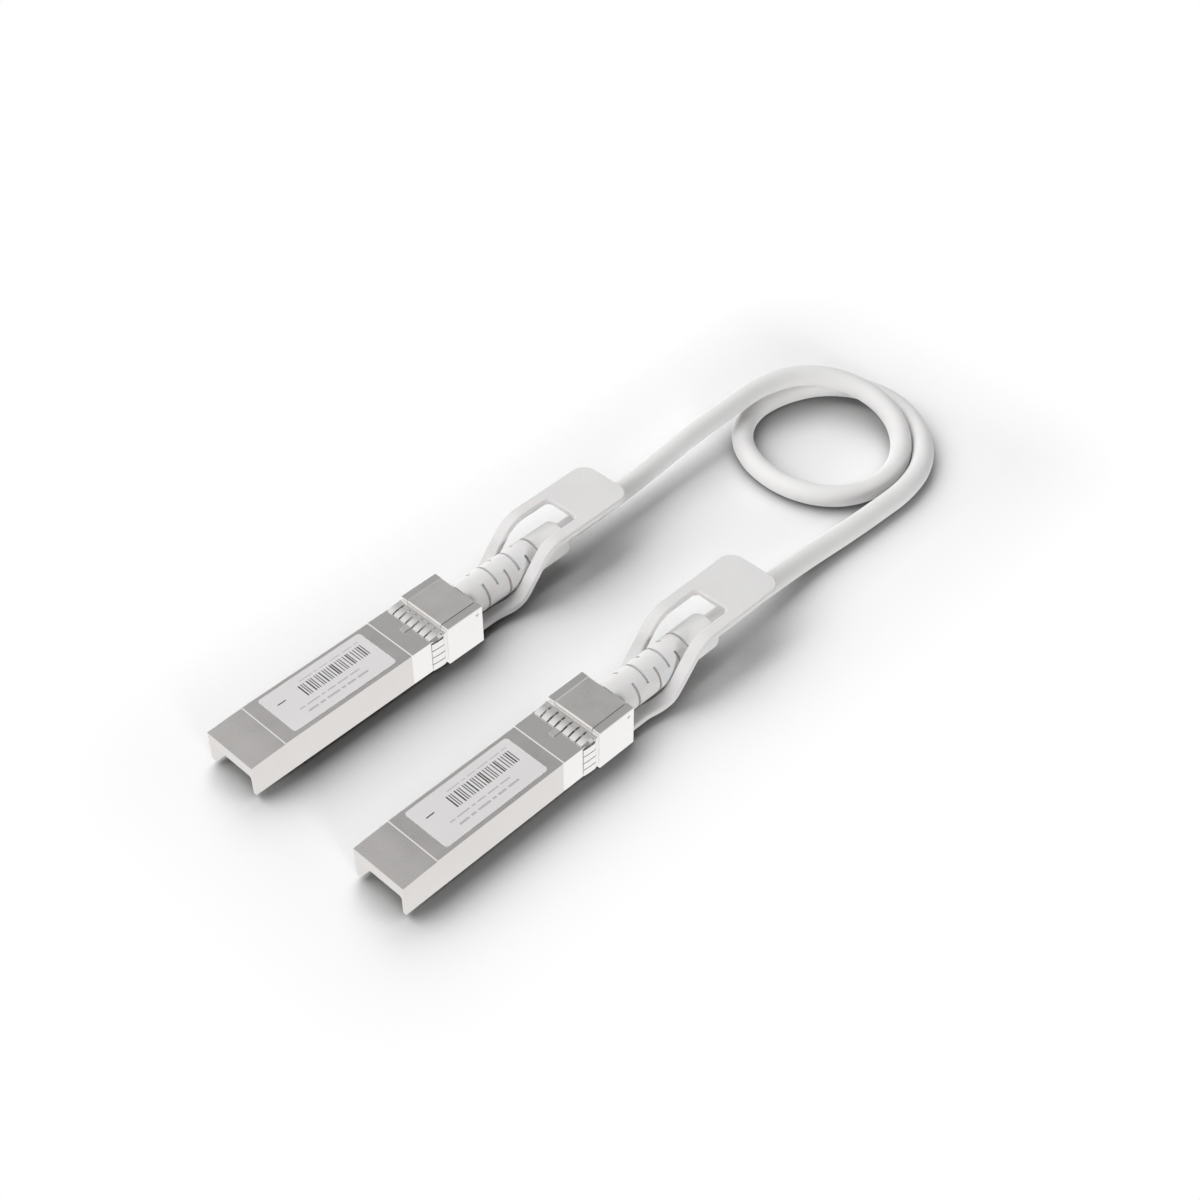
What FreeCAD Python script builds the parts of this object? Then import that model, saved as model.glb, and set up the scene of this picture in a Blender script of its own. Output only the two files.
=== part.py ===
import FreeCAD
import Part
import math
import os

# Direct-attach ethernet cable: two pluggable plugs joined by one round cable.
# Each plug is built with its front edge at x = 0, its middle plane at y = 0 and the rest plane at z = 0.

# Layout of the pair, mm
PLUG_PITCH = 41.43
PLUG_STAGGER = 0.85

# Plug body
BODY_WIDTH = 13.4
BODY_HEIGHT = 8.5
BODY_LENGTH = 49.8
BODY_CHAMFER = 0.55
TOP_EDGE_ROUND = 0.15
WALL = 0.9
ROOF = 1.0
FLOOR = 1.0
REAR_LENGTH = 9.4
SEAM_GAP = 0.05
SEAM_BEVEL = 0.22
SEAM_EDGE = 0.06

# Nose of the cover
NOSE_LENGTH = 8.45
NOSE_SLOPE = 2.6
NOSE_CURVE = 3.5
NOSE_STEP = 0.2
NOSE_WALL = 0.7
MOUTH_LENGTH = 10.4
MOUTH_ABOVE_CARD = 2.0
MOUTH_CORNER = 0.7
SKIRT_CORNER = 0.9

# Head at the cable end
HEAD_LENGTH = 9.6
HEAD_OVERHANG = 0.325
HEAD_RISE = 0.85
HEAD_DROP = 0.45
HEAD_BEVEL = 0.12
HEAD_BACK_WALL = 2.2
HEAD_FLOOR = 0.5
CAP_MARGIN = 2.025
CAP_THICK = 0.9
CAP_FRONT_BEVEL = 0.25
CAP_SEAT_BEVEL = 0.2
CAP_SIDE_GAP = 0.15
CAP_SIDE_GAP_DEPTH = 0.6
CAP_LUG_LENGTH = 1.2
CAP_LUG_WIDTH = 0.8
CAP_LUG_DEPTH = 1.3
CAP_LUG_INSET = 0.1
CAP_PIN_RADIUS = 0.4
CAP_PIN_FROM_BACK = 1.5
CAP_PIN_RECESS = 0.15
CAP_PIN_DROP = 1.5

# Circuit card and what sits on it
CARD_SETBACK = 3.2
CARD_TO_SEAM = 1.2
CARD_LIFT = 2.25
CARD_THICK = 1.0
CARD_SIDE_CLEAR = 0.4
CARD_BEVEL = 0.25
TONGUE_LENGTH = 8.3
TONGUE_WIDTH = 9.2
RAIL_WIDTH = 0.8
PAD_COUNT = 10
PAD_PITCH = 0.8
PAD_WIDTH = 0.55
PAD_LENGTH = 2.6
PAD_SETBACK = 0.5
PAD_THICK = 0.05
CHIP_OFF_MIDDLE = 1.5
CHIP_LENGTH = 4.4
CHIP_WIDTH = 3.0
CHIP_HEIGHT = 0.9
CHIP_STAND = 0.15
CHIP_LEAD_COUNT = 4
CHIP_LEAD_PITCH = 0.65
CHIP_LEAD_WIDTH = 0.3
CHIP_LEAD_REACH = 0.8
CHIP_LEAD_THICK = 0.25
CAPACITOR_COUNT = 4
CAPACITOR_X = 15.0
CAPACITOR_LENGTH = 1.0
CAPACITOR_WIDTH = 0.5
CAPACITOR_HEIGHT = 0.5
CAPACITOR_PITCH = 1.6
SCREW_TO_SEAM = 10.4
SCREW_RADIUS = 0.8
SCREW_HEAD_RADIUS = 1.4
SCREW_HEAD_DEPTH = 0.6
SCREW_LENGTH = 5.2
SCREW_POST_RADIUS = 1.6
SCREW_DRIVE_WIDTH = 0.45
SCREW_DRIVE_LENGTH = 1.6
SCREW_DRIVE_DEPTH = 0.35

# Cable, its shield and cores, and its ferrule
CABLE_DIAMETER = 4.9
BRAID_DIAMETER = 4.4
CABLE_AXIS_DROP = 4.1
BRAID_SETBACK = 1.2
CORD_START_REACH = 19.6
CORD_SECOND_REACH = 31.6
CORE_DIAMETER = 1.2
CORE_SPREAD = 0.85
CORE_INNER_Y = 1.3
CORE_OUTER_Y = 3.3
CORE_CARD_LAP = 2.0
CORE_STRAIGHT = 3.4
CORE_SEAM_LAP = 0.6
TIP_DIAMETER = 0.45
TIP_LENGTH = 1.6
SOLDER_WIDTH = 1.0
SOLDER_COVER = 0.3
FERRULE_SETBACK = 0.7
FERRULE_LENGTH = 4.7
FERRULE_WALL = 0.6
FERRULE_LIP = 0.1

# Strain relief boot
BOOT_RADIUS_FRONT = 4.1
BOOT_RADIUS_END = 4.05
BOOT_LENGTH = 28.7
BOOT_END_ROUND = 0.8
BOOT_NECK_RADIUS = 3.0
BOOT_FLANGE_RADIUS = 3.5
BOOT_FLANGE_LENGTH = 1.5
BOOT_TOP_SLIT_ANGLE = 57.0
BOOT_SIDE_SLIT_ANGLE = 62.0
BOOT_SLIT_WIDTH = 0.6
BOOT_SLIT_DEPTH = 1.1
BOOT_SLIT_REACH = 7.95
BOOT_SLIT_PITCH = 6.15
BOOT_SLIT_COUNT = 3
BOOT_SIDE_SLIT_LEAD = 3.15

# Spring fingers round the rear of the body, their places measured forward from its end
FINGER_STOCK = 0.15
FINGER_BEND = 0.3
FINGER_COUNT = 7
FINGER_EDGE = 0.155
FINGER_GAP = 0.45
FINGER_TIP_REACH = 4.2
FINGER_LONG_TIP_REACH = 6.0
FINGER_SLOT_REACH = 1.05
FINGER_STRIP_REACH = 0.85
FINGER_STRIP_MARGIN = 0.25
FINGER_APEX_REACH = 1.6
FINGER_APEX_FLAT = 0.4
FINGER_TOP_RISE = 0.7
FINGER_SIDE_RISE = 0.4
FINGER_TIP_RISE = 0.08
FINGER_SIDE_TIP_RISE = 0.06
FINGER_SIDE_COUNT = 4
FINGER_SIDE_PITCH = 1.85
FINGER_SIDE_GAP = 0.2
FINGER_SIDE_MIDDLE = 4.3
FINGER_RELIEF_DEPTH = 0.5
FINGER_RELIEF_REACH = 3.6
FINGER_RELIEF_MARGIN = 0.9
CORNER_NOTCH = 0.75

# Release slide, its springs and the fixed latch boss, reaching forward and back from the end of the body
TRAVEL = 2.4
SLIDE_THICK = 0.66
SLIDE_CLEAR = 0.12
SLIDE_WIDTH = 6.0
SLIDE_REACH = 8.5
SLIDE_TINE_SLOT_REACH = 3.6
SLIDE_TIP_BEVEL = 0.5
SLIDE_BACK_SETBACK = 4.4
SLIDE_WING_SETBACK = 1.8
SLIDE_WING_LENGTH = 1.6
SLIDE_WING_INSET = 0.4
SLIDE_EAR_LENGTH = 1.0
SLIDE_EAR_WIDTH = 1.4
SLIDE_EAR_RISE = 1.0
BOSS_REACH = 4.8
BOSS_LENGTH = 2.6
BOSS_WIDTH = 2.6
BOSS_RAMP = 1.8
SPRING_RADIUS = 0.56
SPRING_WIRE = 0.18
SPRING_WIRE_FLATS = 8
SPRING_TURNS = 4
SPRING_Y = 1.9
SPRING_EAR_LENGTH = 0.6
SPRING_EAR_WIDTH = 1.3
SPRING_POCKET_WIDTH = 1.7
SPRING_POCKET_HEIGHT = 1.5
SPRING_BACK_WALL = 1.8

# Pull tab, its places measured back from the end of the head
TAB_REACH = 44.1
TAB_OVERHANG = 0.225
TAB_TOP = 12.95
TAB_THICK = 1.45
TAB_EDGE_ROUND = 0.4
TAB_CORNER = 3.5
TAB_ARM_TOP = 2.9
TAB_ARM_INNER = 3.1
TAB_ARM_MARGIN = 0.925
TAB_ARM_SETBACK = 1.1
TAB_BEND_REACH = 8.0
TAB_BEND_RADIUS = 7.0
TAB_SLOPE = 49.0
TAB_OUTER_FLARE_REACH = 5.2
TAB_OUTER_FLARE_LENGTH = 6.4
TAB_INNER_FLARE_REACH = 6.4
TAB_INNER_FLARE_LENGTH = 7.0
TAB_FLARE_ROUND = 8.0
TAB_WINDOW_CLEAR = 0.2
TAB_WINDOW_REACH = 30.3
TAB_WINDOW_CORNER = 1.2
TAB_CLEAR = 0.25

# Label
LABEL_FRONT = 11.4
LABEL_TO_SEAM = 3.0
LABEL_MARGIN = 0.95
LABEL_CORNER = 0.8
LABEL_THICK = 0.1

# Fits between pieces that do not move
FIT = 0.05

# Free part of the cable, from plug b round the loop to plug a
FREE_ROUTE = [
    (51.5, 20.8, 5.9),
    (62.0, 21.1, 6.2),
    (72.2, 21.7, 6.7),
    (82.3, 22.0, 7.3),
    (92.5, 21.8, 7.8),
    (103.0, 21.8, 8.1),
    (112.7, 18.7, 8.1),
    (119.4, 10.7, 7.5),
    (121.4, 0.4, 5.8),
    (117.9, -8.8, 3.8),
    (109.5, -15.2, 2.6),
    (98.9, -16.6, 2.45),
    (89.8, -11.9, 2.45),
    (85.3, -2.6, 2.45),
    (86.0, 8.3, 2.45),
    (91.3, 17.1, 2.45),
    (100.6, 21.6, 2.45),
    (111.0, 20.6, 2.45),
    (120.5, 15.7, 2.45),
    (126.1, 7.1, 2.45),
    (126.0, -3.2, 2.45),
    (120.9, -12.6, 2.45),
    (112.9, -19.1, 2.45),
    (103.0, -21.6, 2.45),
    (92.6, -21.3, 2.45),
    (82.3, -20.8, 2.45),
    (72.2, -20.2, 2.8),
    (62.2, -20.4, 4.0),
    (52.0, -20.9, 5.2),
]

# Heights and half widths that follow from the sizes above
BODY_LOW = HEAD_DROP
BODY_TOP = BODY_LOW + BODY_HEIGHT
BODY_HALF = BODY_WIDTH / 2
INNER_HALF = BODY_HALF - WALL
ROOF_LOW = BODY_TOP - ROOF
TRAY_TOP = BODY_LOW + FLOOR
CARD_LOW = BODY_LOW + CARD_LIFT
CARD_TOP = CARD_LOW + CARD_THICK
MOUTH_TOP = CARD_TOP + MOUTH_ABOVE_CARD
HEAD_TOP = BODY_TOP + HEAD_RISE
HEAD_HALF = BODY_HALF + HEAD_OVERHANG
HEAD_WIDTH = 2 * HEAD_HALF
HEAD_END = BODY_LENGTH + HEAD_LENGTH
CAP_LOW = HEAD_TOP - CAP_THICK
CAP_WIDTH = HEAD_WIDTH - 2 * CAP_MARGIN
CABLE_Z = HEAD_TOP - CABLE_AXIS_DROP
CABLE_RADIUS = CABLE_DIAMETER / 2
BRAID_RADIUS = BRAID_DIAMETER / 2
FERRULE_RADIUS = BRAID_RADIUS + FIT + FERRULE_WALL
FLANGE_END = HEAD_END - HEAD_BACK_WALL - FIT
FLANGE_FRONT = FLANGE_END - BOOT_FLANGE_LENGTH
SLIDE_LOW = HEAD_FLOOR + SLIDE_CLEAR
SLIDE_TOP = SLIDE_LOW + SLIDE_THICK
CHANNEL_TOP = SLIDE_TOP + SLIDE_CLEAR
CHANNEL_HALF = SLIDE_WIDTH / 2 + SLIDE_CLEAR
REAR_FLOOR = CHANNEL_TOP + FLOOR
TAB_ARM_LOW = TAB_ARM_TOP - TAB_THICK
TAB_ARM_OUTER = HEAD_HALF - TAB_ARM_MARGIN
TAB_HALF_WIDTH = HEAD_HALF + TAB_OVERHANG
TAB_WINDOW_HALF = BOOT_RADIUS_FRONT + TAB_WINDOW_CLEAR
SLIDE_WING_WIDTH = 2 * (TAB_ARM_OUTER - SLIDE_WING_INSET)
SPRING_POCKET_END = HEAD_END - SPRING_BACK_WALL
CORE_Z = CARD_TOP + CORE_DIAMETER / 2 + FIT
FINGER_PITCH = (BODY_WIDTH - 2 * FINGER_EDGE) / FINGER_COUNT
FINGER_RELIEF_HALF = BODY_HALF - FINGER_RELIEF_MARGIN
CARD_WIDTH = 2 * (INNER_HALF - CARD_SIDE_CLEAR)
LABEL_WIDTH = BODY_WIDTH - 2 * LABEL_MARGIN

# Stations along the plug that follow from its length
COVER_LENGTH = BODY_LENGTH - REAR_LENGTH
CARD_END = COVER_LENGTH - CARD_TO_SEAM
LABEL_END = COVER_LENGTH - LABEL_TO_SEAM
SCREW_X = COVER_LENGTH - SCREW_TO_SEAM
CHIP_X = (CAPACITOR_X + SCREW_X) / 2 - CHIP_OFF_MIDDLE
CORE_END = CARD_END - CORE_CARD_LAP
CORE_LEVEL_END = COVER_LENGTH + CORE_SEAM_LAP
FINGER_TIP_X = BODY_LENGTH - FINGER_TIP_REACH
FINGER_LONG_TIP_X = BODY_LENGTH - FINGER_LONG_TIP_REACH
FINGER_SLOT_END = BODY_LENGTH - FINGER_SLOT_REACH
FINGER_STRIP_FRONT = BODY_LENGTH - FINGER_STRIP_REACH
FINGER_STRIP_END = BODY_LENGTH - FINGER_STRIP_MARGIN
FINGER_APEX_X = BODY_LENGTH - FINGER_APEX_REACH
FINGER_RELIEF_FRONT = BODY_LENGTH - FINGER_RELIEF_REACH
SLIDE_FRONT = BODY_LENGTH - SLIDE_REACH
SLIDE_TINE_SLOT_END = BODY_LENGTH - SLIDE_TINE_SLOT_REACH
SLIDE_BACK = BODY_LENGTH + SLIDE_BACK_SETBACK
SLIDE_WING_FRONT = BODY_LENGTH + SLIDE_WING_SETBACK
BOSS_SHOULDER_X = BODY_LENGTH - BOSS_REACH
BRAID_FRONT = BODY_LENGTH + BRAID_SETBACK
FERRULE_FRONT = BODY_LENGTH + FERRULE_SETBACK
BOOT_SLIT_FIRST = HEAD_END + BOOT_SLIT_REACH
CORD_START = HEAD_END + CORD_START_REACH
CORD_SECOND = HEAD_END + CORD_SECOND_REACH
TAB_ARM_FRONT = BODY_LENGTH + TAB_ARM_SETBACK
TAB_BEND_START = HEAD_END + TAB_BEND_REACH
TAB_FLARE_OUTER_START = HEAD_END + TAB_OUTER_FLARE_REACH
TAB_FLARE_OUTER_END = TAB_FLARE_OUTER_START + TAB_OUTER_FLARE_LENGTH
TAB_FLARE_INNER_START = HEAD_END + TAB_INNER_FLARE_REACH
TAB_FLARE_INNER_END = TAB_FLARE_INNER_START + TAB_INNER_FLARE_LENGTH
TAB_WINDOW_END = HEAD_END + TAB_WINDOW_REACH
TAB_END = HEAD_END + TAB_REACH

X_AXIS = FreeCAD.Vector(1, 0, 0)
Y_AXIS = FreeCAD.Vector(0, 1, 0)
Z_AXIS = FreeCAD.Vector(0, 0, 1)


def vec(x, y, z):
    return FreeCAD.Vector(x, y, z)


def block(x0, x1, y0, y1, z0, z1):
    """Box between two corners."""
    return Part.makeBox(x1 - x0, y1 - y0, z1 - z0, vec(x0, y0, z0))


def rod(radius, x0, x1, y, z):
    """Round bar along x."""
    return Part.makeCylinder(radius, x1 - x0, vec(x0, y, z), X_AXIS)


def prism(points, along):
    """Closed outline swept along a vector."""
    wire = Part.makePolygon(points + [points[0]])
    return Part.Face(wire).extrude(along)


def both_sides(shape):
    """The shape and its mirror image across the middle plane."""
    return [shape, shape.mirror(vec(0, 0, 0), Y_AXIS)]


def edges_where(shape, test):
    """Edges whose two ends both satisfy a test."""
    return [edge for edge in shape.Edges if all(test(vertex.Point) for vertex in edge.Vertexes)]


def near(a, b):
    return abs(a - b) < 1e-4


def tidy(shape):
    """One clean solid with its split faces joined."""
    return shape.removeSplitter()


def body_section(x0, x1):
    """Outside of the body between two stations, with bevelled lower edges."""
    points = [
        vec(x0, -BODY_HALF, BODY_LOW + BODY_CHAMFER),
        vec(x0, -BODY_HALF + BODY_CHAMFER, BODY_LOW),
        vec(x0, BODY_HALF - BODY_CHAMFER, BODY_LOW),
        vec(x0, BODY_HALF, BODY_LOW + BODY_CHAMFER),
        vec(x0, BODY_HALF, BODY_TOP),
        vec(x0, -BODY_HALF, BODY_TOP),
    ]
    return prism(points, vec(x1 - x0, 0, 0))


def round_uprights(shape, x, radius):
    """Round the upright edges at one station."""
    station = edges_where(shape, lambda p: near(p.x, x))
    return shape.makeFillet(radius, [edge for edge in station if edge.BoundBox.YLength < 1e-4])


def u_slot(radius, x0, x1, top):
    """Round-bottomed slot about the cable axis, open upwards to a level."""
    groove = rod(radius, x0, x1, 0, CABLE_Z)
    return groove.fuse(block(x0, x1, -radius, radius, CABLE_Z, top))


def make_front_cover():
    """Satin upper shell with a sloped nose, open below."""
    end = COVER_LENGTH - SEAM_GAP
    outer = body_section(0, end)
    front_low = BODY_LOW + SKIRT_CORNER
    arc_in = SKIRT_CORNER * (1 - math.sqrt(0.5))
    corner = Part.Arc(vec(0, -HEAD_WIDTH, front_low), vec(arc_in, -HEAD_WIDTH, BODY_LOW + arc_in),
                      vec(SKIRT_CORNER, -HEAD_WIDTH, BODY_LOW))
    slope = math.radians(NOSE_SLOPE)
    nose_back = NOSE_LENGTH - NOSE_STEP
    nose_top = BODY_TOP - NOSE_STEP
    curve_end = nose_back - NOSE_CURVE
    curve_low = nose_top - NOSE_CURVE * math.tan(slope / 2)
    curve_radius = NOSE_CURVE / math.sin(slope)
    half_x = nose_back - curve_radius * math.sin(slope / 2)
    half_z = nose_top - curve_radius * (1 - math.cos(slope / 2))
    curve = Part.Arc(vec(nose_back, -HEAD_WIDTH, nose_top), vec(half_x, -HEAD_WIDTH, half_z),
                     vec(curve_end, -HEAD_WIDTH, curve_low))
    back_outline = [
        vec(SKIRT_CORNER, -HEAD_WIDTH, BODY_LOW),
        vec(end, -HEAD_WIDTH, BODY_LOW),
        vec(end, -HEAD_WIDTH, BODY_TOP),
        vec(NOSE_LENGTH, -HEAD_WIDTH, BODY_TOP),
        vec(nose_back, -HEAD_WIDTH, nose_top),
    ]
    front_outline = [
        vec(curve_end, -HEAD_WIDTH, curve_low),
        vec(0, -HEAD_WIDTH, curve_low - curve_end * math.tan(slope)),
        vec(0, -HEAD_WIDTH, front_low),
    ]
    back_edges = Part.makePolygon(back_outline).Edges
    front_edges = Part.makePolygon(front_outline).Edges
    profile = Part.Wire([corner.toShape()] + back_edges + [curve.toShape()] + front_edges)
    side_view = Part.Face(profile).extrude(vec(0, 2 * HEAD_WIDTH, 0))
    outer = tidy(outer.common(side_view))
    top_edges = edges_where(outer, lambda p: near(abs(p.y), BODY_HALF) and near(p.z, BODY_TOP))
    long_edges = [edge for edge in top_edges if near(edge.BoundBox.YLength, 0)]
    outer = outer.makeFillet(TOP_EDGE_ROUND, long_edges)
    seam = edges_where(outer, lambda p: near(p.x, end))
    outer = outer.makeChamfer(SEAM_EDGE, [edge for edge in seam if edge.Length > 1])
    nose_half = BODY_HALF - NOSE_WALL
    cavity = block(NOSE_LENGTH, COVER_LENGTH, -INNER_HALF, INNER_HALF, 0, ROOF_LOW)
    mouth = block(-NOSE_LENGTH, NOSE_LENGTH, -nose_half, nose_half, 0, MOUTH_TOP)
    mouth_corners = edges_where(mouth, lambda p: near(p.z, MOUTH_TOP))
    mouth = mouth.makeFillet(MOUTH_CORNER, [edge for edge in mouth_corners if near(edge.BoundBox.YLength, 0)])
    boss = Part.makeCylinder(SCREW_POST_RADIUS, ROOF_LOW - CARD_TOP + FIT, vec(SCREW_X, 0, CARD_TOP))
    screw_bore = Part.makeCylinder(SCREW_RADIUS, SCREW_LENGTH, vec(SCREW_X, 0, BODY_LOW + FIT))
    return tidy(outer.cut([cavity, mouth]).fuse(boss).cut(screw_bore))


def make_case_screw():
    """Countersunk screw through tray and card into the cover."""
    head = Part.makeCone(SCREW_HEAD_RADIUS, SCREW_RADIUS, SCREW_HEAD_DEPTH, vec(SCREW_X, 0, BODY_LOW + FIT))
    shank = Part.makeCylinder(SCREW_RADIUS, SCREW_LENGTH, vec(SCREW_X, 0, BODY_LOW + FIT))
    half_long = SCREW_DRIVE_LENGTH / 2
    half_wide = SCREW_DRIVE_WIDTH / 2
    low = BODY_LOW - FIT
    high = BODY_LOW + FIT + SCREW_DRIVE_DEPTH
    drive_x = block(SCREW_X - half_long, SCREW_X + half_long, -half_wide, half_wide, low, high)
    drive_y = block(SCREW_X - half_wide, SCREW_X + half_wide, -half_long, half_long, low, high)
    return tidy(head.fuse(shank).cut([drive_x, drive_y]))


def make_base_casting():
    """Polished rear shell with the head, and the tray under the card."""
    rear = body_section(COVER_LENGTH, BODY_LENGTH + WALL)
    front_face = edges_where(rear, lambda p: near(p.x, COVER_LENGTH))
    rear = rear.makeChamfer(SEAM_BEVEL, front_face)
    tray_half = INNER_HALF - FIT
    tray = block(MOUTH_LENGTH, COVER_LENGTH + WALL, -tray_half, tray_half, BODY_LOW, TRAY_TOP)
    head = block(BODY_LENGTH, HEAD_END, -HEAD_HALF, HEAD_HALF, 0, HEAD_TOP)
    head = head.makeChamfer(HEAD_BEVEL, head.Edges)
    rail_half = CARD_WIDTH / 2
    rails = both_sides(block(CARD_SETBACK + TONGUE_LENGTH + FIT, COVER_LENGTH + FIT,
                             rail_half - RAIL_WIDTH, rail_half, TRAY_TOP - FIT, CARD_LOW))
    post = Part.makeCylinder(SCREW_POST_RADIUS, CARD_LOW - TRAY_TOP + FIT, vec(SCREW_X, 0, TRAY_TOP - FIT))
    shell = rear.fuse([tray, head, post] + rails)

    # room for the cores, the ferrule and the boot's flange and neck
    bay = block(COVER_LENGTH - WALL, BODY_LENGTH - WALL, -INNER_HALF, INNER_HALF, REAR_FLOOR, ROOF_LOW)
    bay_mouth = block(COVER_LENGTH - WALL, COVER_LENGTH + FIT, -INNER_HALF, INNER_HALF, CARD_LOW, ROOF_LOW)
    passage_radius = CORE_SPREAD * math.sqrt(2) + CORE_DIAMETER
    passage = rod(passage_radius, BODY_LENGTH - 2 * WALL, FERRULE_FRONT, 0, CABLE_Z)
    ferrule_seat = u_slot(FERRULE_RADIUS + FERRULE_LIP + FIT, FERRULE_FRONT - FIT, FLANGE_FRONT, CAP_LOW)
    flange_seat = u_slot(BOOT_FLANGE_RADIUS + FIT, FLANGE_FRONT - FIT, FLANGE_END + FIT, CAP_LOW)
    neck_seat = u_slot(BOOT_NECK_RADIUS + FIT, FLANGE_END, HEAD_END + WALL, CAP_LOW)
    cap_half = CAP_WIDTH / 2
    cap_seat = block(BODY_LENGTH - FIT, HEAD_END + FIT, -cap_half, cap_half, CAP_LOW, HEAD_TOP + WALL)
    side_gap = block(BODY_LENGTH - FIT, HEAD_END + FIT, -cap_half - CAP_SIDE_GAP, FIT - cap_half,
                     HEAD_TOP - CAP_SIDE_GAP_DEPTH, HEAD_TOP + WALL)
    seat_bevel = prism([
        vec(BODY_LENGTH - FIT, cap_half - FIT, HEAD_TOP - CAP_SEAT_BEVEL - FIT),
        vec(BODY_LENGTH - FIT, cap_half + CAP_SEAT_BEVEL + WALL, HEAD_TOP + WALL),
        vec(BODY_LENGTH - FIT, cap_half - FIT, HEAD_TOP + WALL),
    ], vec(HEAD_LENGTH + 2 * FIT, 0, 0))
    shell = shell.cut([bay, bay_mouth, passage, ferrule_seat, flange_seat, neck_seat, cap_seat])
    shell = shell.cut([side_gap, seat_bevel])

    # pockets for the cap's lugs and their pins
    pin_x = HEAD_END - CAP_PIN_FROM_BACK
    pin_z = HEAD_TOP - CAP_PIN_DROP
    lug_out = cap_half - CAP_LUG_INSET + FIT
    lug_in = cap_half - CAP_LUG_INSET - CAP_LUG_WIDTH - FIT
    lug_half = CAP_LUG_LENGTH / 2 + FIT
    lug_low = CAP_LOW - CAP_LUG_DEPTH - FIT
    pockets = both_sides(block(pin_x - lug_half, pin_x + lug_half, lug_in, lug_out, lug_low, CAP_LOW + FIT))
    pin_bores = both_sides(Part.makeCylinder(CAP_PIN_RADIUS, HEAD_HALF, vec(pin_x, lug_in, pin_z), Y_AXIS))
    shell = shell.cut(pockets + pin_bores)

    # channel of the release slide, closed below in the head
    channel_start = SLIDE_FRONT - SLIDE_CLEAR
    open_channel = block(channel_start, BODY_LENGTH, -CHANNEL_HALF, CHANNEL_HALF, 0, CHANNEL_TOP)
    closed_end = SLIDE_BACK + TRAVEL + SLIDE_CLEAR
    closed_channel = block(BODY_LENGTH - WALL, closed_end, -CHANNEL_HALF, CHANNEL_HALF,
                           HEAD_FLOOR, CHANNEL_TOP)
    wing_half = SLIDE_WING_WIDTH / 2 + SLIDE_CLEAR
    wing_end = SLIDE_WING_FRONT + SLIDE_WING_LENGTH + TRAVEL + SLIDE_CLEAR
    wing_slot = block(SLIDE_WING_FRONT - SLIDE_CLEAR, wing_end, -wing_half, wing_half,
                      HEAD_FLOOR, CHANNEL_TOP)
    arm_slots = both_sides(block(TAB_ARM_FRONT - TAB_CLEAR, HEAD_END + WALL, TAB_ARM_INNER - TAB_CLEAR,
                                 TAB_ARM_OUTER + TAB_CLEAR, TAB_ARM_LOW - TAB_CLEAR, TAB_ARM_TOP + TAB_CLEAR))
    pocket_half = SPRING_POCKET_WIDTH / 2
    spring_pockets = both_sides(block(SLIDE_BACK - SPRING_EAR_LENGTH - SLIDE_CLEAR, SPRING_POCKET_END,
                                      SPRING_Y - pocket_half, SPRING_Y + pocket_half,
                                      HEAD_FLOOR, HEAD_FLOOR + SPRING_POCKET_HEIGHT))
    shell = shell.cut([open_channel, closed_channel, wing_slot] + arm_slots + spring_pockets)

    # fixed latch boss, with a ramp in front and a square shoulder behind
    boss_front = BOSS_SHOULDER_X - BOSS_LENGTH
    boss_half = BOSS_WIDTH / 2
    boss = prism([
        vec(boss_front, -boss_half, CHANNEL_TOP + FIT),
        vec(boss_front, -boss_half, BODY_LOW),
        vec(boss_front + BOSS_RAMP, -boss_half, 0),
        vec(BOSS_SHOULDER_X, -boss_half, 0),
        vec(BOSS_SHOULDER_X, -boss_half, CHANNEL_TOP + FIT),
    ], vec(0, BOSS_WIDTH, 0))
    shell = shell.fuse(boss)

    # countersunk screw hole, the hollow that the fingers flex into and the notches at its corners
    screw_hole = Part.makeCylinder(SCREW_RADIUS + FIT, CARD_LOW, vec(SCREW_X, 0, BODY_LOW - FIT))
    sink_place = vec(SCREW_X, 0, BODY_LOW + FIT)
    sink = Part.makeCone(SCREW_HEAD_RADIUS + FIT, SCREW_RADIUS + FIT, SCREW_HEAD_DEPTH, sink_place)
    mouth = Part.makeCylinder(SCREW_HEAD_RADIUS + FIT, 2 * FIT, vec(SCREW_X, 0, BODY_LOW - FIT))
    notches = both_sides(block(FINGER_TIP_X + FINGER_GAP, FINGER_STRIP_FRONT - FINGER_GAP,
                               BODY_HALF - CORNER_NOTCH, BODY_HALF + WALL,
                               BODY_TOP - CORNER_NOTCH, BODY_TOP + WALL))
    relief = block(FINGER_RELIEF_FRONT, FINGER_SLOT_END, -FINGER_RELIEF_HALF, FINGER_RELIEF_HALF,
                   BODY_TOP - FINGER_RELIEF_DEPTH, BODY_TOP + WALL)
    return tidy(shell.cut([screw_hole, sink, mouth, relief] + notches))


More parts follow.
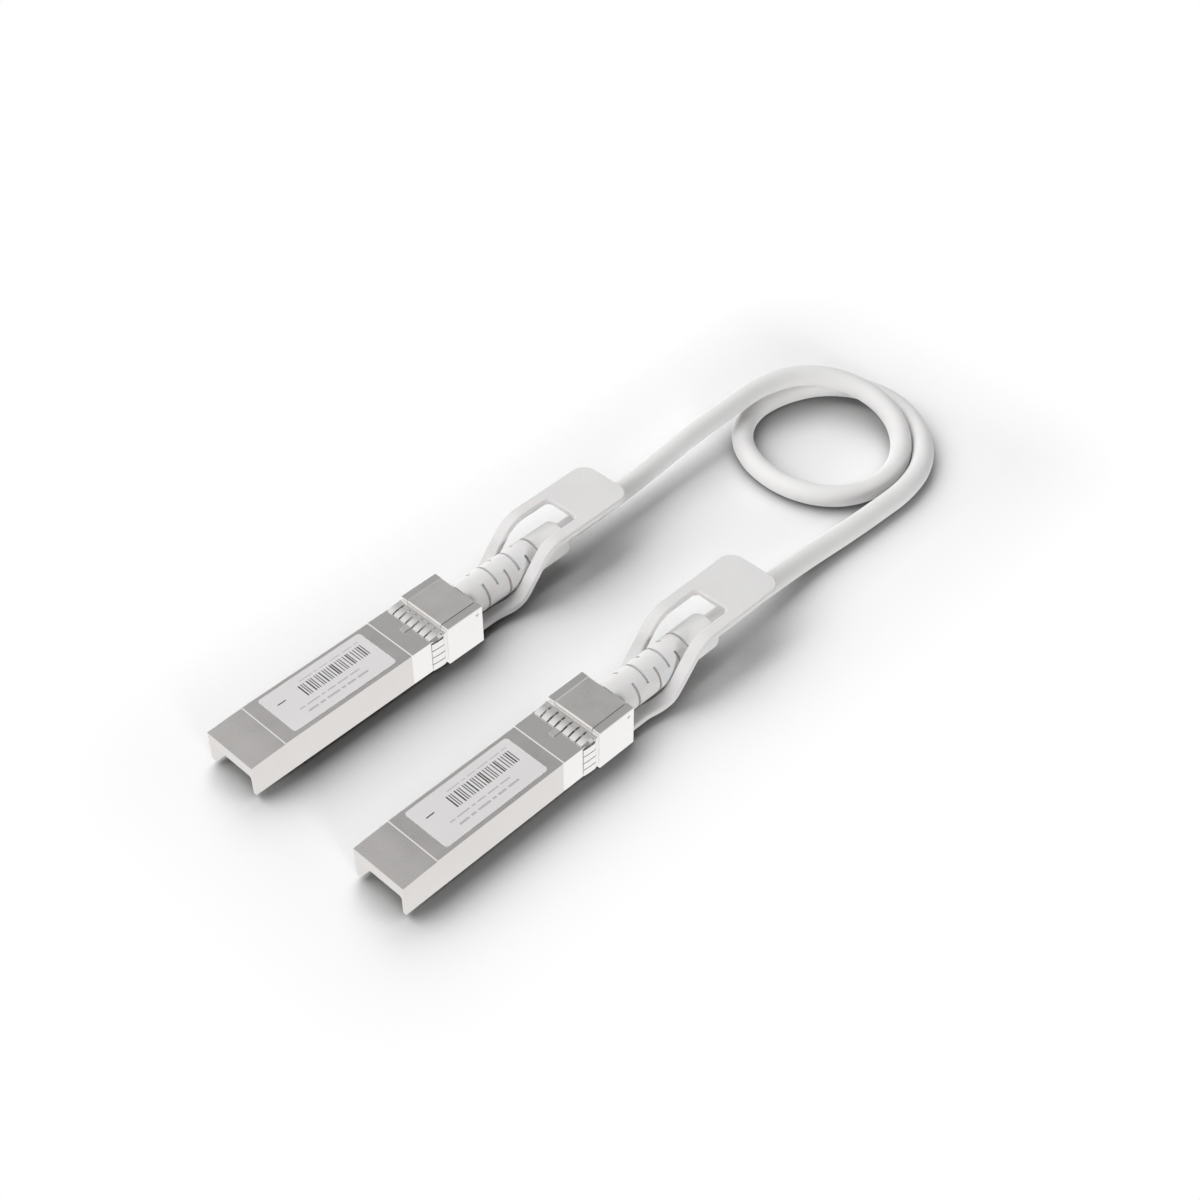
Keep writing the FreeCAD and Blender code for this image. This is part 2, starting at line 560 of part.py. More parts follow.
def make_head_cap():
    """Panel let into the top of the head, with two lugs."""
    half = CAP_WIDTH / 2 - FIT
    plate = block(BODY_LENGTH, HEAD_END, -half, half, CAP_LOW, HEAD_TOP)
    front_edge = edges_where(plate, lambda p: near(p.z, HEAD_TOP) and near(p.x, BODY_LENGTH))
    back_edge = edges_where(plate, lambda p: near(p.z, HEAD_TOP) and near(p.x, HEAD_END))
    plate = plate.makeChamfer(CAP_FRONT_BEVEL, front_edge + back_edge)
    pin_x = HEAD_END - CAP_PIN_FROM_BACK
    lug_out = CAP_WIDTH / 2 - CAP_LUG_INSET
    lugs = both_sides(block(pin_x - CAP_LUG_LENGTH / 2, pin_x + CAP_LUG_LENGTH / 2,
                            lug_out - CAP_LUG_WIDTH, lug_out,
                            CAP_LOW - CAP_LUG_DEPTH, CAP_LOW + CAP_THICK / 2))
    flange_room = rod(BOOT_FLANGE_RADIUS + FIT, FLANGE_FRONT - FIT, FLANGE_END + FIT, 0, CABLE_Z)
    bores = rod(CAP_PIN_RADIUS, -HEAD_WIDTH, HEAD_WIDTH, 0, 0)
    bores.rotate(vec(0, 0, 0), Z_AXIS, 90)
    bores.translate(vec(pin_x, 0, HEAD_TOP - CAP_PIN_DROP))
    return tidy(plate.fuse(lugs).cut([flange_room, bores]))


def make_cap_pins():
    """Two cross pins, each a little below the side of the head."""
    pin_x = HEAD_END - CAP_PIN_FROM_BACK
    inner = CAP_WIDTH / 2 - CAP_LUG_INSET - CAP_LUG_WIDTH
    length = HEAD_HALF - CAP_PIN_RECESS - inner
    pin = Part.makeCylinder(CAP_PIN_RADIUS, length, vec(pin_x, inner, HEAD_TOP - CAP_PIN_DROP), Y_AXIS)
    return Part.makeCompound(both_sides(pin))


def finger_band(rise, tip_rise, base, tip, half_from, half_to):
    """One bent strip: flat root, raised apex and a free end that bows down to a low tip."""
    apex_back = FINGER_APEX_X + FINGER_APEX_FLAT
    reach = FINGER_APEX_X - tip
    drop = rise - tip_rise - FINGER_STOCK
    outer_bow = (reach ** 2 + drop ** 2) / (2 * drop)
    inner_bow = outer_bow - FINGER_STOCK

    def place(x, height):
        return vec(x, half_from, base + height)

    def bowed(radius, x):
        """Point on the upper or lower side of the bowed end."""
        return place(x, rise - outer_bow + math.sqrt(radius ** 2 - (FINGER_APEX_X - x) ** 2))

    middle = FINGER_APEX_X - reach / 2
    root = [
        place(FINGER_STRIP_END, 0),
        place(FINGER_STRIP_END, FINGER_STOCK),
        place(FINGER_STRIP_FRONT, FINGER_STOCK),
        place(apex_back, rise),
        place(FINGER_APEX_X, rise),
    ]
    back = [
        place(FINGER_APEX_X, rise - FINGER_STOCK),
        place(apex_back - FINGER_STOCK / 2, rise - FINGER_STOCK),
        place(FINGER_STRIP_FRONT - FINGER_STOCK, 0),
        place(FINGER_STRIP_END, 0),
    ]
    upper = Part.Arc(root[-1], bowed(outer_bow, middle), bowed(outer_bow, tip))
    end = Part.makeLine(bowed(outer_bow, tip), bowed(inner_bow, tip))
    lower = Part.Arc(bowed(inner_bow, tip), bowed(inner_bow, middle), back[0])
    bow = [upper.toShape(), end, lower.toShape()]
    outline = Part.Wire(Part.makePolygon(root).Edges + bow + Part.makePolygon(back).Edges)
    band = Part.Face(outline).extrude(vec(0, half_to - half_from, 0))
    crest = edges_where(band, lambda p: near(p.x, apex_back))
    band = band.makeFillet(FINGER_BEND, [edge for edge in crest if near(edge.BoundBox.XLength, 0)])
    hollow = edges_where(band, lambda p: near(p.x, apex_back - FINGER_STOCK / 2))
    inner_bend = FINGER_BEND - FINGER_STOCK
    return band.makeFillet(inner_bend, [edge for edge in hollow if near(edge.BoundBox.XLength, 0)])


def make_spring_finger_clip():
    """Sheet-metal clip with fingers over the top and down both sides."""
    span = FINGER_COUNT * FINGER_PITCH / 2
    top_half = span - FINGER_GAP / 2
    top = finger_band(FINGER_TOP_RISE, FINGER_TIP_RISE, BODY_TOP, FINGER_TIP_X, -top_half, top_half)
    slots = []
    for index in range(1, FINGER_COUNT):
        y = index * FINGER_PITCH - span
        slots.append(block(FINGER_TIP_X - WALL, FINGER_SLOT_END, y - FINGER_GAP / 2, y + FINGER_GAP / 2,
                           BODY_TOP - WALL, BODY_TOP + FINGER_TOP_RISE + WALL))
    top = top.cut(slots)
    centre_half = (FINGER_PITCH - FINGER_GAP) / 2
    tongue = block(FINGER_LONG_TIP_X, FINGER_TIP_X + FIT, -centre_half, centre_half,
                   BODY_TOP + FINGER_TIP_RISE, BODY_TOP + FINGER_TIP_RISE + FINGER_STOCK)
    pieces = [top, tongue]

    side_span = FINGER_SIDE_COUNT * FINGER_SIDE_PITCH / 2
    side = finger_band(FINGER_SIDE_RISE, FINGER_SIDE_TIP_RISE, 0, FINGER_TIP_X,
                       -side_span + FINGER_SIDE_GAP / 2, side_span - FINGER_SIDE_GAP / 2)
    side_slots = []
    for index in range(1, FINGER_SIDE_COUNT):
        y = index * FINGER_SIDE_PITCH - side_span
        side_slots.append(block(FINGER_TIP_X - WALL, FINGER_SLOT_END, y - FINGER_SIDE_GAP / 2,
                                y + FINGER_SIDE_GAP / 2, -WALL, FINGER_SIDE_RISE + WALL))
    side = side.cut(side_slots)
    side.rotate(vec(0, 0, 0), X_AXIS, -90)
    side.translate(vec(0, BODY_HALF, BODY_LOW + FINGER_SIDE_MIDDLE))
    pieces += both_sides(side)

    hoop_half = BODY_HALF + FINGER_STOCK
    hoop_outer = block(FINGER_STRIP_FRONT, FINGER_STRIP_END, -hoop_half, hoop_half,
                       BODY_LOW + BODY_CHAMFER, BODY_TOP + FINGER_STOCK)
    hoop_inner = block(FINGER_STRIP_FRONT - WALL, FINGER_STRIP_END + WALL, -BODY_HALF, BODY_HALF, 0, BODY_TOP)
    hoop = hoop_outer.cut(hoop_inner)
    return tidy(hoop.fuse(pieces))


def make_paddle_card():
    """Circuit card with a narrower tongue in the mouth of the plug."""
    tongue_end = CARD_SETBACK + TONGUE_LENGTH
    tongue = block(CARD_SETBACK, tongue_end + FIT, -TONGUE_WIDTH / 2, TONGUE_WIDTH / 2, CARD_LOW, CARD_TOP)
    front_edges = edges_where(tongue, lambda p: near(p.x, CARD_SETBACK))
    lead_edges = [edge for edge in front_edges if near(edge.BoundBox.ZLength, 0)]
    tongue = tongue.makeChamfer(CARD_BEVEL, lead_edges)
    card = block(tongue_end, CARD_END, -CARD_WIDTH / 2, CARD_WIDTH / 2, CARD_LOW, CARD_TOP)
    hole = Part.makeCylinder(SCREW_RADIUS + 2 * FIT, CARD_THICK + 2 * FIT, vec(SCREW_X, 0, CARD_LOW - FIT))
    return tidy(card.fuse(tongue).cut(hole))


def make_contact_pads():
    """Edge contacts on both faces of the tongue."""
    start = CARD_SETBACK + PAD_SETBACK
    pads = []
    for index in range(PAD_COUNT):
        left = (index - (PAD_COUNT - 1) / 2) * PAD_PITCH - PAD_WIDTH / 2
        for low in (CARD_TOP, CARD_LOW - PAD_THICK):
            pads.append(block(start, start + PAD_LENGTH, left, left + PAD_WIDTH, low, low + PAD_THICK))
    return Part.makeCompound(pads)


def make_memory_chip():
    """Small eight-lead chip."""
    half_length = CHIP_LENGTH / 2
    half_width = CHIP_WIDTH / 2
    low = CARD_TOP + CHIP_STAND
    top = low + CHIP_HEIGHT
    body = block(CHIP_X - half_length, CHIP_X + half_length, -half_width, half_width, low, top)
    rim = edges_where(body, lambda p: near(p.z, top))
    body = body.makeChamfer(CHIP_STAND, rim)
    leads = []
    for index in range(CHIP_LEAD_COUNT):
        x = CHIP_X + (index - (CHIP_LEAD_COUNT - 1) / 2) * CHIP_LEAD_PITCH
        lead = block(x - CHIP_LEAD_WIDTH / 2, x + CHIP_LEAD_WIDTH / 2, half_width - FIT,
                     half_width + CHIP_LEAD_REACH, CARD_TOP, CARD_TOP + CHIP_LEAD_THICK)
        leads += both_sides(lead)
    return tidy(body.fuse(leads))


def make_coupling_capacitors():
    """Four small chip capacitors in a row."""
    pieces = []
    front = CAPACITOR_X - CAPACITOR_LENGTH / 2
    for index in range(CAPACITOR_COUNT):
        left = (index - (CAPACITOR_COUNT - 1) / 2) * CAPACITOR_PITCH - CAPACITOR_WIDTH / 2
        pieces.append(block(front, front + CAPACITOR_LENGTH, left, left + CAPACITOR_WIDTH,
                            CARD_TOP, CARD_TOP + CAPACITOR_HEIGHT))
    return Part.makeCompound(pieces)


def rounded_path(points, share):
    """Straight runs joined by tangent arcs. Each arc takes a share of the shorter run beside its corner."""
    edges = []
    radii = []
    start = points[0]
    for before, corner, after in zip(points, points[1:], points[2:]):
        back = before.sub(corner)
        ahead = after.sub(corner)
        reach = share * min(back.Length, ahead.Length)
        back.normalize()
        ahead.normalize()
        half_turn = (math.pi - back.getAngle(ahead)) / 2
        radius = reach / math.tan(half_turn)
        radii.append(radius)
        first = corner + back * reach
        last = corner + ahead * reach
        inward = back + ahead
        inward.normalize()
        middle = corner + inward * (radius / math.cos(half_turn) - radius)
        edges.append(Part.LineSegment(start, first).toShape())
        edges.append(Part.Arc(first, middle, last).toShape())
        start = last
    edges.append(Part.LineSegment(start, points[-1]).toShape())
    return Part.Wire(edges), radii


def tube(points, radius, share=0.45):
    """Round bar along a path of straight runs and arcs."""
    path, radii = rounded_path(points, share)
    direction = points[1].sub(points[0])
    circle = Part.Wire(Part.makeCircle(radius, points[0], direction))
    return path.makePipeShell([circle], True, False), path, radii


def core_ends():
    """Where each core leaves the cable and where it meets the card."""
    ends = []
    for side in (-1, 1):
        ends.append((side * CORE_SPREAD, CABLE_Z + CORE_SPREAD, side * CORE_OUTER_Y))
        ends.append((side * CORE_SPREAD, CABLE_Z - CORE_SPREAD, side * CORE_INNER_Y))
    return ends


def make_signal_wires():
    """Four insulated cores from the cable's end to the card."""
    cores = []
    for start_y, start_z, end_y in core_ends():
        points = [
            vec(BRAID_FRONT - FIT, start_y, start_z),
            vec(BRAID_FRONT - CORE_STRAIGHT, start_y, start_z),
            vec(CORE_LEVEL_END, end_y, CORE_Z),
            vec(CORE_END, end_y, CORE_Z),
        ]
        cores.append(tube(points, CORE_DIAMETER / 2)[0])
    return Part.makeCompound(cores)


def make_conductor_tips():
    """Bare ends of the cores."""
    return Part.makeCompound([rod(TIP_DIAMETER / 2, CORE_END - TIP_LENGTH, CORE_END, end_y, CORE_Z)
                              for start_y, start_z, end_y in core_ends()])


def make_solder_joints():
    """Solder round each bare end, standing on the card."""
    joints = []
    top = CORE_Z + TIP_DIAMETER / 2 + SOLDER_COVER
    for start_y, start_z, end_y in core_ends():
        lump = block(CORE_END - TIP_LENGTH - SOLDER_COVER, CORE_END - FIT, end_y - SOLDER_WIDTH / 2,
                     end_y + SOLDER_WIDTH / 2, CARD_TOP, top)
        crown = edges_where(lump, lambda p: near(p.z, top))
        lump = lump.makeFillet(SOLDER_COVER * 0.8, crown)
        joints.append(lump.cut(rod(TIP_DIAMETER / 2, CORE_END - TIP_LENGTH, CORE_END, end_y, CORE_Z)))
    return Part.makeCompound(joints)


def make_crimp_ferrule():
    """Crimped metal sleeve on the cable's end, with a raised lip at each end."""
    end = FERRULE_FRONT + FERRULE_LENGTH
    sleeve = rod(FERRULE_RADIUS, FERRULE_FRONT, end, 0, CABLE_Z)
    front_lip = rod(FERRULE_RADIUS + FERRULE_LIP, FERRULE_FRONT, FERRULE_FRONT + WALL, 0, CABLE_Z)
    back_lip = rod(FERRULE_RADIUS + FERRULE_LIP, end - WALL, end, 0, CABLE_Z)
    bore = rod(BRAID_RADIUS + FIT, FERRULE_FRONT - FIT, end + FIT, 0, CABLE_Z)
    return tidy(sleeve.fuse([front_lip, back_lip]).cut(bore))


def make_shield_braid():
    """Bared shield of the cable, from the end of its jacket in the boot to the ferrule."""
    return rod(BRAID_RADIUS, BRAID_FRONT, CORD_START, 0, CABLE_Z)


def slit(x, middle, half_angle):
    """Part of a ring cut into the boot, centred on an angle from the top."""
    front = x - BOOT_SLIT_WIDTH / 2
    back = x + BOOT_SLIT_WIDTH / 2
    low = CABLE_Z + BOOT_RADIUS_FRONT - BOOT_SLIT_DEPTH
    high = CABLE_Z + BOOT_RADIUS_FRONT + WALL
    corners = [(front, low), (back, low), (back, high), (front, high), (front, low)]
    section = Part.Face(Part.makePolygon([vec(along, 0, height) for along, height in corners]))
    section.rotate(vec(x, 0, CABLE_Z), X_AXIS, middle - half_angle)
    return section.revolve(vec(x, 0, CABLE_Z), X_AXIS, 2 * half_angle)


def make_strain_relief_boot():
    """Flexible boot: flange and neck held in the head, then a slit taper round the cable."""
    end = HEAD_END + BOOT_LENGTH
    start = HEAD_END + FIT
    outline = [
        (FLANGE_FRONT, 0),
        (FLANGE_FRONT, BOOT_FLANGE_RADIUS),
        (FLANGE_END, BOOT_FLANGE_RADIUS),
        (FLANGE_END, BOOT_NECK_RADIUS),
        (start, BOOT_NECK_RADIUS),
        (start, BOOT_RADIUS_FRONT),
        (end, BOOT_RADIUS_END),
        (end, 0),
    ]
    wire = Part.makePolygon([vec(x, 0, CABLE_Z + r) for x, r in outline + [outline[0]]])
    boot = Part.Face(wire).revolve(vec(0, 0, CABLE_Z), X_AXIS, 360)
    rim = [edge for edge in boot.Edges if near(edge.BoundBox.XMin, end) and near(edge.BoundBox.XMax, end)]
    boot = boot.makeFillet(BOOT_END_ROUND, rim)
    cuts = [
        rod(BRAID_RADIUS + FIT, FLANGE_FRONT - FIT, end, 0, CABLE_Z),
        rod(CABLE_RADIUS + FIT, CORD_START - FIT, end + FIT, 0, CABLE_Z),
    ]
    for index in range(BOOT_SLIT_COUNT):
        x = BOOT_SLIT_FIRST + index * BOOT_SLIT_PITCH
        cuts += [slit(x, angle, BOOT_TOP_SLIT_ANGLE) for angle in (0, 180)]
        cuts += [slit(x - BOOT_SIDE_SLIT_LEAD, angle, BOOT_SIDE_SLIT_ANGLE) for angle in (-90, 90)]
    return tidy(boot.cut(cuts))


def tab_profile():
    """Side view of the tab: level arms, an S-bend and the level paddle."""
    slope = math.radians(TAB_SLOPE)
    middle_low = TAB_ARM_TOP - TAB_THICK / 2
    middle_high = TAB_TOP - TAB_THICK / 2
    arc_rise = TAB_BEND_RADIUS * (1 - math.cos(slope))
    straight = (middle_high - middle_low - 2 * arc_rise) / math.sin(slope)
    low_end_x = TAB_BEND_START + TAB_BEND_RADIUS * math.sin(slope)
    high_start_x = low_end_x + straight * math.cos(slope)
    high_end_x = high_start_x + TAB_BEND_RADIUS * math.sin(slope)
    low_centre = (TAB_BEND_START, middle_low + TAB_BEND_RADIUS)
    high_centre = (high_end_x, middle_high - TAB_BEND_RADIUS)
    edge = -2 * TAB_HALF_WIDTH

    def low_point(angle, radius):
        return vec(low_centre[0] + radius * math.sin(angle), edge, low_centre[1] - radius * math.cos(angle))

    def high_point(angle, radius):
        return vec(high_centre[0] - radius * math.sin(angle), edge, high_centre[1] + radius * math.cos(angle))

    def face_line(offset):
        """One face of the strip, a given distance above its middle line."""
        low_radius = TAB_BEND_RADIUS - offset
        high_radius = TAB_BEND_RADIUS + offset
        front = vec(TAB_ARM_FRONT, edge, middle_low + offset)
        back = vec(TAB_END, edge, middle_high + offset)
        low_bend = [low_point(angle, low_radius) for angle in (0, slope / 2, slope)]
        high_bend = [high_point(angle, high_radius) for angle in (slope, slope / 2, 0)]
        return [
            Part.LineSegment(front, low_bend[0]).toShape(),
            Part.Arc(*low_bend).toShape(),
            Part.LineSegment(low_bend[-1], high_bend[0]).toShape(),
            Part.Arc(*high_bend).toShape(),
            Part.LineSegment(high_bend[-1], back).toShape(),
        ]

    half = TAB_THICK / 2
    ends = [(TAB_ARM_FRONT, middle_low), (TAB_END, middle_high)]
    closing = [Part.LineSegment(vec(x, edge, z - half), vec(x, edge, z + half)).toShape() for x, z in ends]
    outline = face_line(half) + face_line(-half) + closing
    return Part.Face(Part.Wire(Part.sortEdges(outline)[0]))


def tab_plan():
    """Plan view of the tab: two arms that flare to the paddle's width, with a window between them."""
    low = 0
    outer = [
        vec(TAB_ARM_FRONT, -TAB_ARM_OUTER, low),
        vec(TAB_FLARE_OUTER_START, -TAB_ARM_OUTER, low),
        vec(TAB_FLARE_OUTER_END, -TAB_HALF_WIDTH, low),
        vec(TAB_END, -TAB_HALF_WIDTH, low),
        vec(TAB_END, TAB_HALF_WIDTH, low),
        vec(TAB_FLARE_OUTER_END, TAB_HALF_WIDTH, low),
        vec(TAB_FLARE_OUTER_START, TAB_ARM_OUTER, low),
        vec(TAB_ARM_FRONT, TAB_ARM_OUTER, low),
    ]
    window = [
        vec(TAB_ARM_FRONT, -TAB_ARM_INNER, low),
        vec(TAB_FLARE_INNER_START, -TAB_ARM_INNER, low),
        vec(TAB_FLARE_INNER_END, -TAB_WINDOW_HALF, low),
        vec(TAB_WINDOW_END, -TAB_WINDOW_HALF, low),
        vec(TAB_WINDOW_END, TAB_WINDOW_HALF, low),
        vec(TAB_FLARE_INNER_END, TAB_WINDOW_HALF, low),
        vec(TAB_FLARE_INNER_START, TAB_ARM_INNER, low),
        vec(TAB_ARM_FRONT, TAB_ARM_INNER, low),
    ]
    height = vec(0, 0, TAB_TOP + TAB_THICK)
    slab = round_uprights(prism(outer, height), TAB_END, TAB_CORNER)
    slab = round_uprights(slab, TAB_FLARE_OUTER_START, TAB_FLARE_ROUND)
    slab = round_uprights(slab, TAB_FLARE_OUTER_END, TAB_FLARE_ROUND)
    hole = round_uprights(prism(window, height), TAB_WINDOW_END, TAB_WINDOW_CORNER)
    hole = round_uprights(hole, TAB_FLARE_INNER_START, TAB_FLARE_ROUND)
    hole = round_uprights(hole, TAB_FLARE_INNER_END, TAB_FLARE_ROUND)
    return slab.cut(hole)


def make_pull_tab():
    """Flexible tab that draws the release slide back."""
    strip = tab_profile().extrude(vec(0, 4 * TAB_HALF_WIDTH, 0))
    tab = tidy(strip.common(tab_plan()))
    cross_stations = (TAB_WINDOW_END, TAB_END)
    rims = [edge for edge in tab.Edges if not near(edge.BoundBox.XLength, 0)
            or any(near(edge.BoundBox.XMax, station) for station in cross_stations)]
    tab = tab.makeFillet(TAB_EDGE_ROUND, rims)
    ear_front = SLIDE_WING_FRONT + (SLIDE_WING_LENGTH - SLIDE_EAR_LENGTH) / 2
    ear_in = (TAB_ARM_INNER + TAB_ARM_OUTER - SLIDE_EAR_WIDTH) / 2
    sockets = both_sides(block(ear_front - FIT, ear_front + SLIDE_EAR_LENGTH + FIT, ear_in - FIT,
                               ear_in + SLIDE_EAR_WIDTH + FIT, 0, SLIDE_TOP + SLIDE_EAR_RISE + FIT))
    return tidy(tab.cut(sockets))


def make_release_slide():
    """Steel sled: two tines beside the latch boss, wings with ears for the tab, ears for the springs."""
    half = SLIDE_WIDTH / 2
    plate = block(SLIDE_FRONT, SLIDE_BACK, -half, half, SLIDE_LOW, SLIDE_TOP)
    tip = edges_where(plate, lambda p: near(p.x, SLIDE_FRONT) and near(p.z, SLIDE_LOW))
    plate = plate.makeChamfer(SLIDE_TIP_BEVEL, tip)
    gap = BOSS_WIDTH / 2 + TAB_CLEAR
    fork = block(SLIDE_FRONT - WALL, SLIDE_TINE_SLOT_END, -gap, gap, 0, CHANNEL_TOP)
    wing_half = SLIDE_WING_WIDTH / 2
    wings = block(SLIDE_WING_FRONT, SLIDE_WING_FRONT + SLIDE_WING_LENGTH, -wing_half, wing_half,
                  SLIDE_LOW, SLIDE_TOP)
    ear_front = SLIDE_WING_FRONT + (SLIDE_WING_LENGTH - SLIDE_EAR_LENGTH) / 2
    ear_in = (TAB_ARM_INNER + TAB_ARM_OUTER - SLIDE_EAR_WIDTH) / 2
    ears = both_sides(block(ear_front, ear_front + SLIDE_EAR_LENGTH, ear_in, ear_in + SLIDE_EAR_WIDTH,
                            SLIDE_LOW, SLIDE_TOP + SLIDE_EAR_RISE))
    stop_half = SPRING_EAR_WIDTH / 2
    stop_top = HEAD_FLOOR + SPRING_POCKET_HEIGHT - SLIDE_CLEAR
    stops = both_sides(block(SLIDE_BACK - SPRING_EAR_LENGTH, SLIDE_BACK,
                             SPRING_Y - stop_half, SPRING_Y + stop_half, SLIDE_LOW, stop_top))
    return tidy(plate.cut(fork).fuse([wings] + ears + stops))


def make_return_springs():
    """Two small coil springs behind the slide, of wire with eight flats."""
    front = SLIDE_BACK + FIT + SPRING_WIRE / 2
    length = SPRING_POCKET_END - FIT - SPRING_WIRE / 2 - front
    height = HEAD_FLOOR + SPRING_POCKET_HEIGHT / 2
    helix = Part.makeHelix(length / SPRING_TURNS, length, SPRING_RADIUS)
    lead = vec(0, SPRING_RADIUS, length / SPRING_TURNS / (2 * math.pi))
    lead.normalize()
    across = lead.cross(X_AXIS)
    corners = []
    for index in range(SPRING_WIRE_FLATS):
        angle = 2 * math.pi * (index + 0.5) / SPRING_WIRE_FLATS
        outward = X_AXIS * (SPRING_RADIUS + SPRING_WIRE / 2 * math.cos(angle))
        corners.append(outward + across * (SPRING_WIRE / 2 * math.sin(angle)))
    section = Part.makePolygon(corners + [corners[0]])
    coil = Part.Wire(helix.Edges).makePipeShell([section], True, False)
    coil.rotate(vec(0, 0, 0), Y_AXIS, 90)
    coil.translate(vec(front, SPRING_Y, height))
    return Part.makeCompound(both_sides(coil))


def make_label():
    """Thin adhesive label on the cover."""
    sheet = block(LABEL_FRONT, LABEL_END, -LABEL_WIDTH / 2, LABEL_WIDTH / 2, BODY_TOP, BODY_TOP + LABEL_THICK)
    return round_uprights(round_uprights(sheet, LABEL_FRONT, LABEL_CORNER), LABEL_END, LABEL_CORNER)


def make_cable(front_a, front_b):
    """Cable from the boot of plug b round its loop to the boot of plug a."""
    half_pitch = PLUG_PITCH / 2
    route = [vec(front_b + station, half_pitch, CABLE_Z) for station in (CORD_START, CORD_SECOND)]
    route += [vec(x, y, z) for x, y, z in FREE_ROUTE]
    route += [vec(front_a + station, -half_pitch, CABLE_Z) for station in (CORD_SECOND, CORD_START)]
    shape, path, radii = tube(route, CABLE_RADIUS)
    print("cable radii", [round(radius, 1) for radius in radii])
    print("cable length", round(path.Length, 1), "volume ratio",
          round(shape.Volume / (math.pi * CABLE_RADIUS ** 2 * path.Length), 4))
    return shape


def main():
    os.makedirs("parts", exist_ok=True)
    plug_pieces = {
        "front_cover": make_front_cover(),
        "base_casting": make_base_casting(),
        "head_cap": make_head_cap(),
        "cap_pins": make_cap_pins(),
        "case_screw": make_case_screw(),
        "spring_finger_clip": make_spring_finger_clip(),
        "label": make_label(),
        "paddle_card": make_paddle_card(),
        "contact_pads": make_contact_pads(),
        "memory_chip": make_memory_chip(),
        "coupling_capacitors": make_coupling_capacitors(),
        "signal_wires": make_signal_wires(),
        "conductor_tips": make_conductor_tips(),
        "solder_joints": make_solder_joints(),
        "crimp_ferrule": make_crimp_ferrule(),
        "shield_braid": make_shield_braid(),
        "strain_relief_boot": make_strain_relief_boot(),
        "pull_tab": make_pull_tab(),
        "release_slide": make_release_slide(),
        "return_springs": make_return_springs(),
    }
    front_a = (PLUG_STAGGER - TAB_END) / 2
    front_b = front_a - PLUG_STAGGER
    places = {
        "a": vec(front_a, -PLUG_PITCH / 2, 0),
        "b": vec(front_b, PLUG_PITCH / 2, 0),
    }
    for name, shape in plug_pieces.items():
        print(name, "valid", shape.isValid(), "solids", len(shape.Solids), "volume", round(shape.Volume, 2))
        for suffix, place in places.items():
            shape.translated(place).exportStep("parts/" + name + "_" + suffix + ".step")
    cable = make_cable(front_a, front_b)
    print("cable", "valid", cable.isValid(), "solids", len(cable.Solids))
    cable.exportStep("parts/cable.step")


main()
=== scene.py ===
"""Looks of a direct-attach ethernet cable.

Two metal plugs with boots and pull tabs are joined by one looped cable.
"""

import logging
import math
from collections.abc import Iterator
from contextlib import contextmanager
from dataclasses import dataclass, field, replace
from enum import Enum

import bpy
from mathutils import Matrix, Vector


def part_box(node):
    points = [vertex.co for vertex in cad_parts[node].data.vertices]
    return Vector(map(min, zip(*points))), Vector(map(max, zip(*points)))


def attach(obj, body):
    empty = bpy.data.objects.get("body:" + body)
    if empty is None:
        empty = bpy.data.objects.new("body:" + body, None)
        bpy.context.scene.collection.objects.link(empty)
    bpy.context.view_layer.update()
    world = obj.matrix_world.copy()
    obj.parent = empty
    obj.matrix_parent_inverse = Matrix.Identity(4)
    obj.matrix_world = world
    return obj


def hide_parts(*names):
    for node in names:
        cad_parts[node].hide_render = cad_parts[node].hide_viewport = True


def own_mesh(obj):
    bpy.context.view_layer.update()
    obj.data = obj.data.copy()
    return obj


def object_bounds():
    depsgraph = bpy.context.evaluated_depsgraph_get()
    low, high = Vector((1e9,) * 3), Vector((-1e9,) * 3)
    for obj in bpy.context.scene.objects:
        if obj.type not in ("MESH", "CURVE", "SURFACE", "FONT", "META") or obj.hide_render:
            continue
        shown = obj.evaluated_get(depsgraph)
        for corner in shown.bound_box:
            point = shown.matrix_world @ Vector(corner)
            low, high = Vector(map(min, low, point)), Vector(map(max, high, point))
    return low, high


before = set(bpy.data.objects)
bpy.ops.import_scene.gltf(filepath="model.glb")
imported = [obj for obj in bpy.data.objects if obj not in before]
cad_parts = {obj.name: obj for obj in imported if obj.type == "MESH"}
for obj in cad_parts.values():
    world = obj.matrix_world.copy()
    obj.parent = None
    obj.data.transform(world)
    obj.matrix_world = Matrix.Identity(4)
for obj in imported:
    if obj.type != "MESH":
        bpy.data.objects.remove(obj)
CAD_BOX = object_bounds()

LOG = logging.getLogger("ethernet_cable")
FIXED_BODY = "plugs_and_cable"
MM = 0.001
HALF = 0.5
ORIGIN = (0.0, 0.0, 0.0)
WHITE = (1.0, 1.0, 1.0)
UNIT = (0.0, 1.0)
SIGNED = (-1.0, 1.0)
GRAIN_BAND = (0.25, 0.75)

Pair = tuple[float, float]
Triple = tuple[float, float, float]
Area = tuple[float, float, float, float]
Socket = bpy.types.NodeSocket
Piece = bpy.types.Object

# Front edge and middle line of each plug, in millimetres
PLUG_PLACES: dict[str, Pair] = {"a": (-51.325, -20.715), "b": (-52.175, 20.715)}


class Lay(Enum):
    """Stretch of a surface's grain along x, y and z."""

    EVEN = (1.0, 1.0, 1.0)
    ALONG = (0.05, 1.0, 1.0)
    ACROSS = (1.0, 0.05, 1.0)


class Detail(Enum):
    """Octaves of finer grain inside a surface's grain."""

    COARSE = 2.0
    PLAIN = 3.0
    FINE = 4.0
    FINEST = 5.0


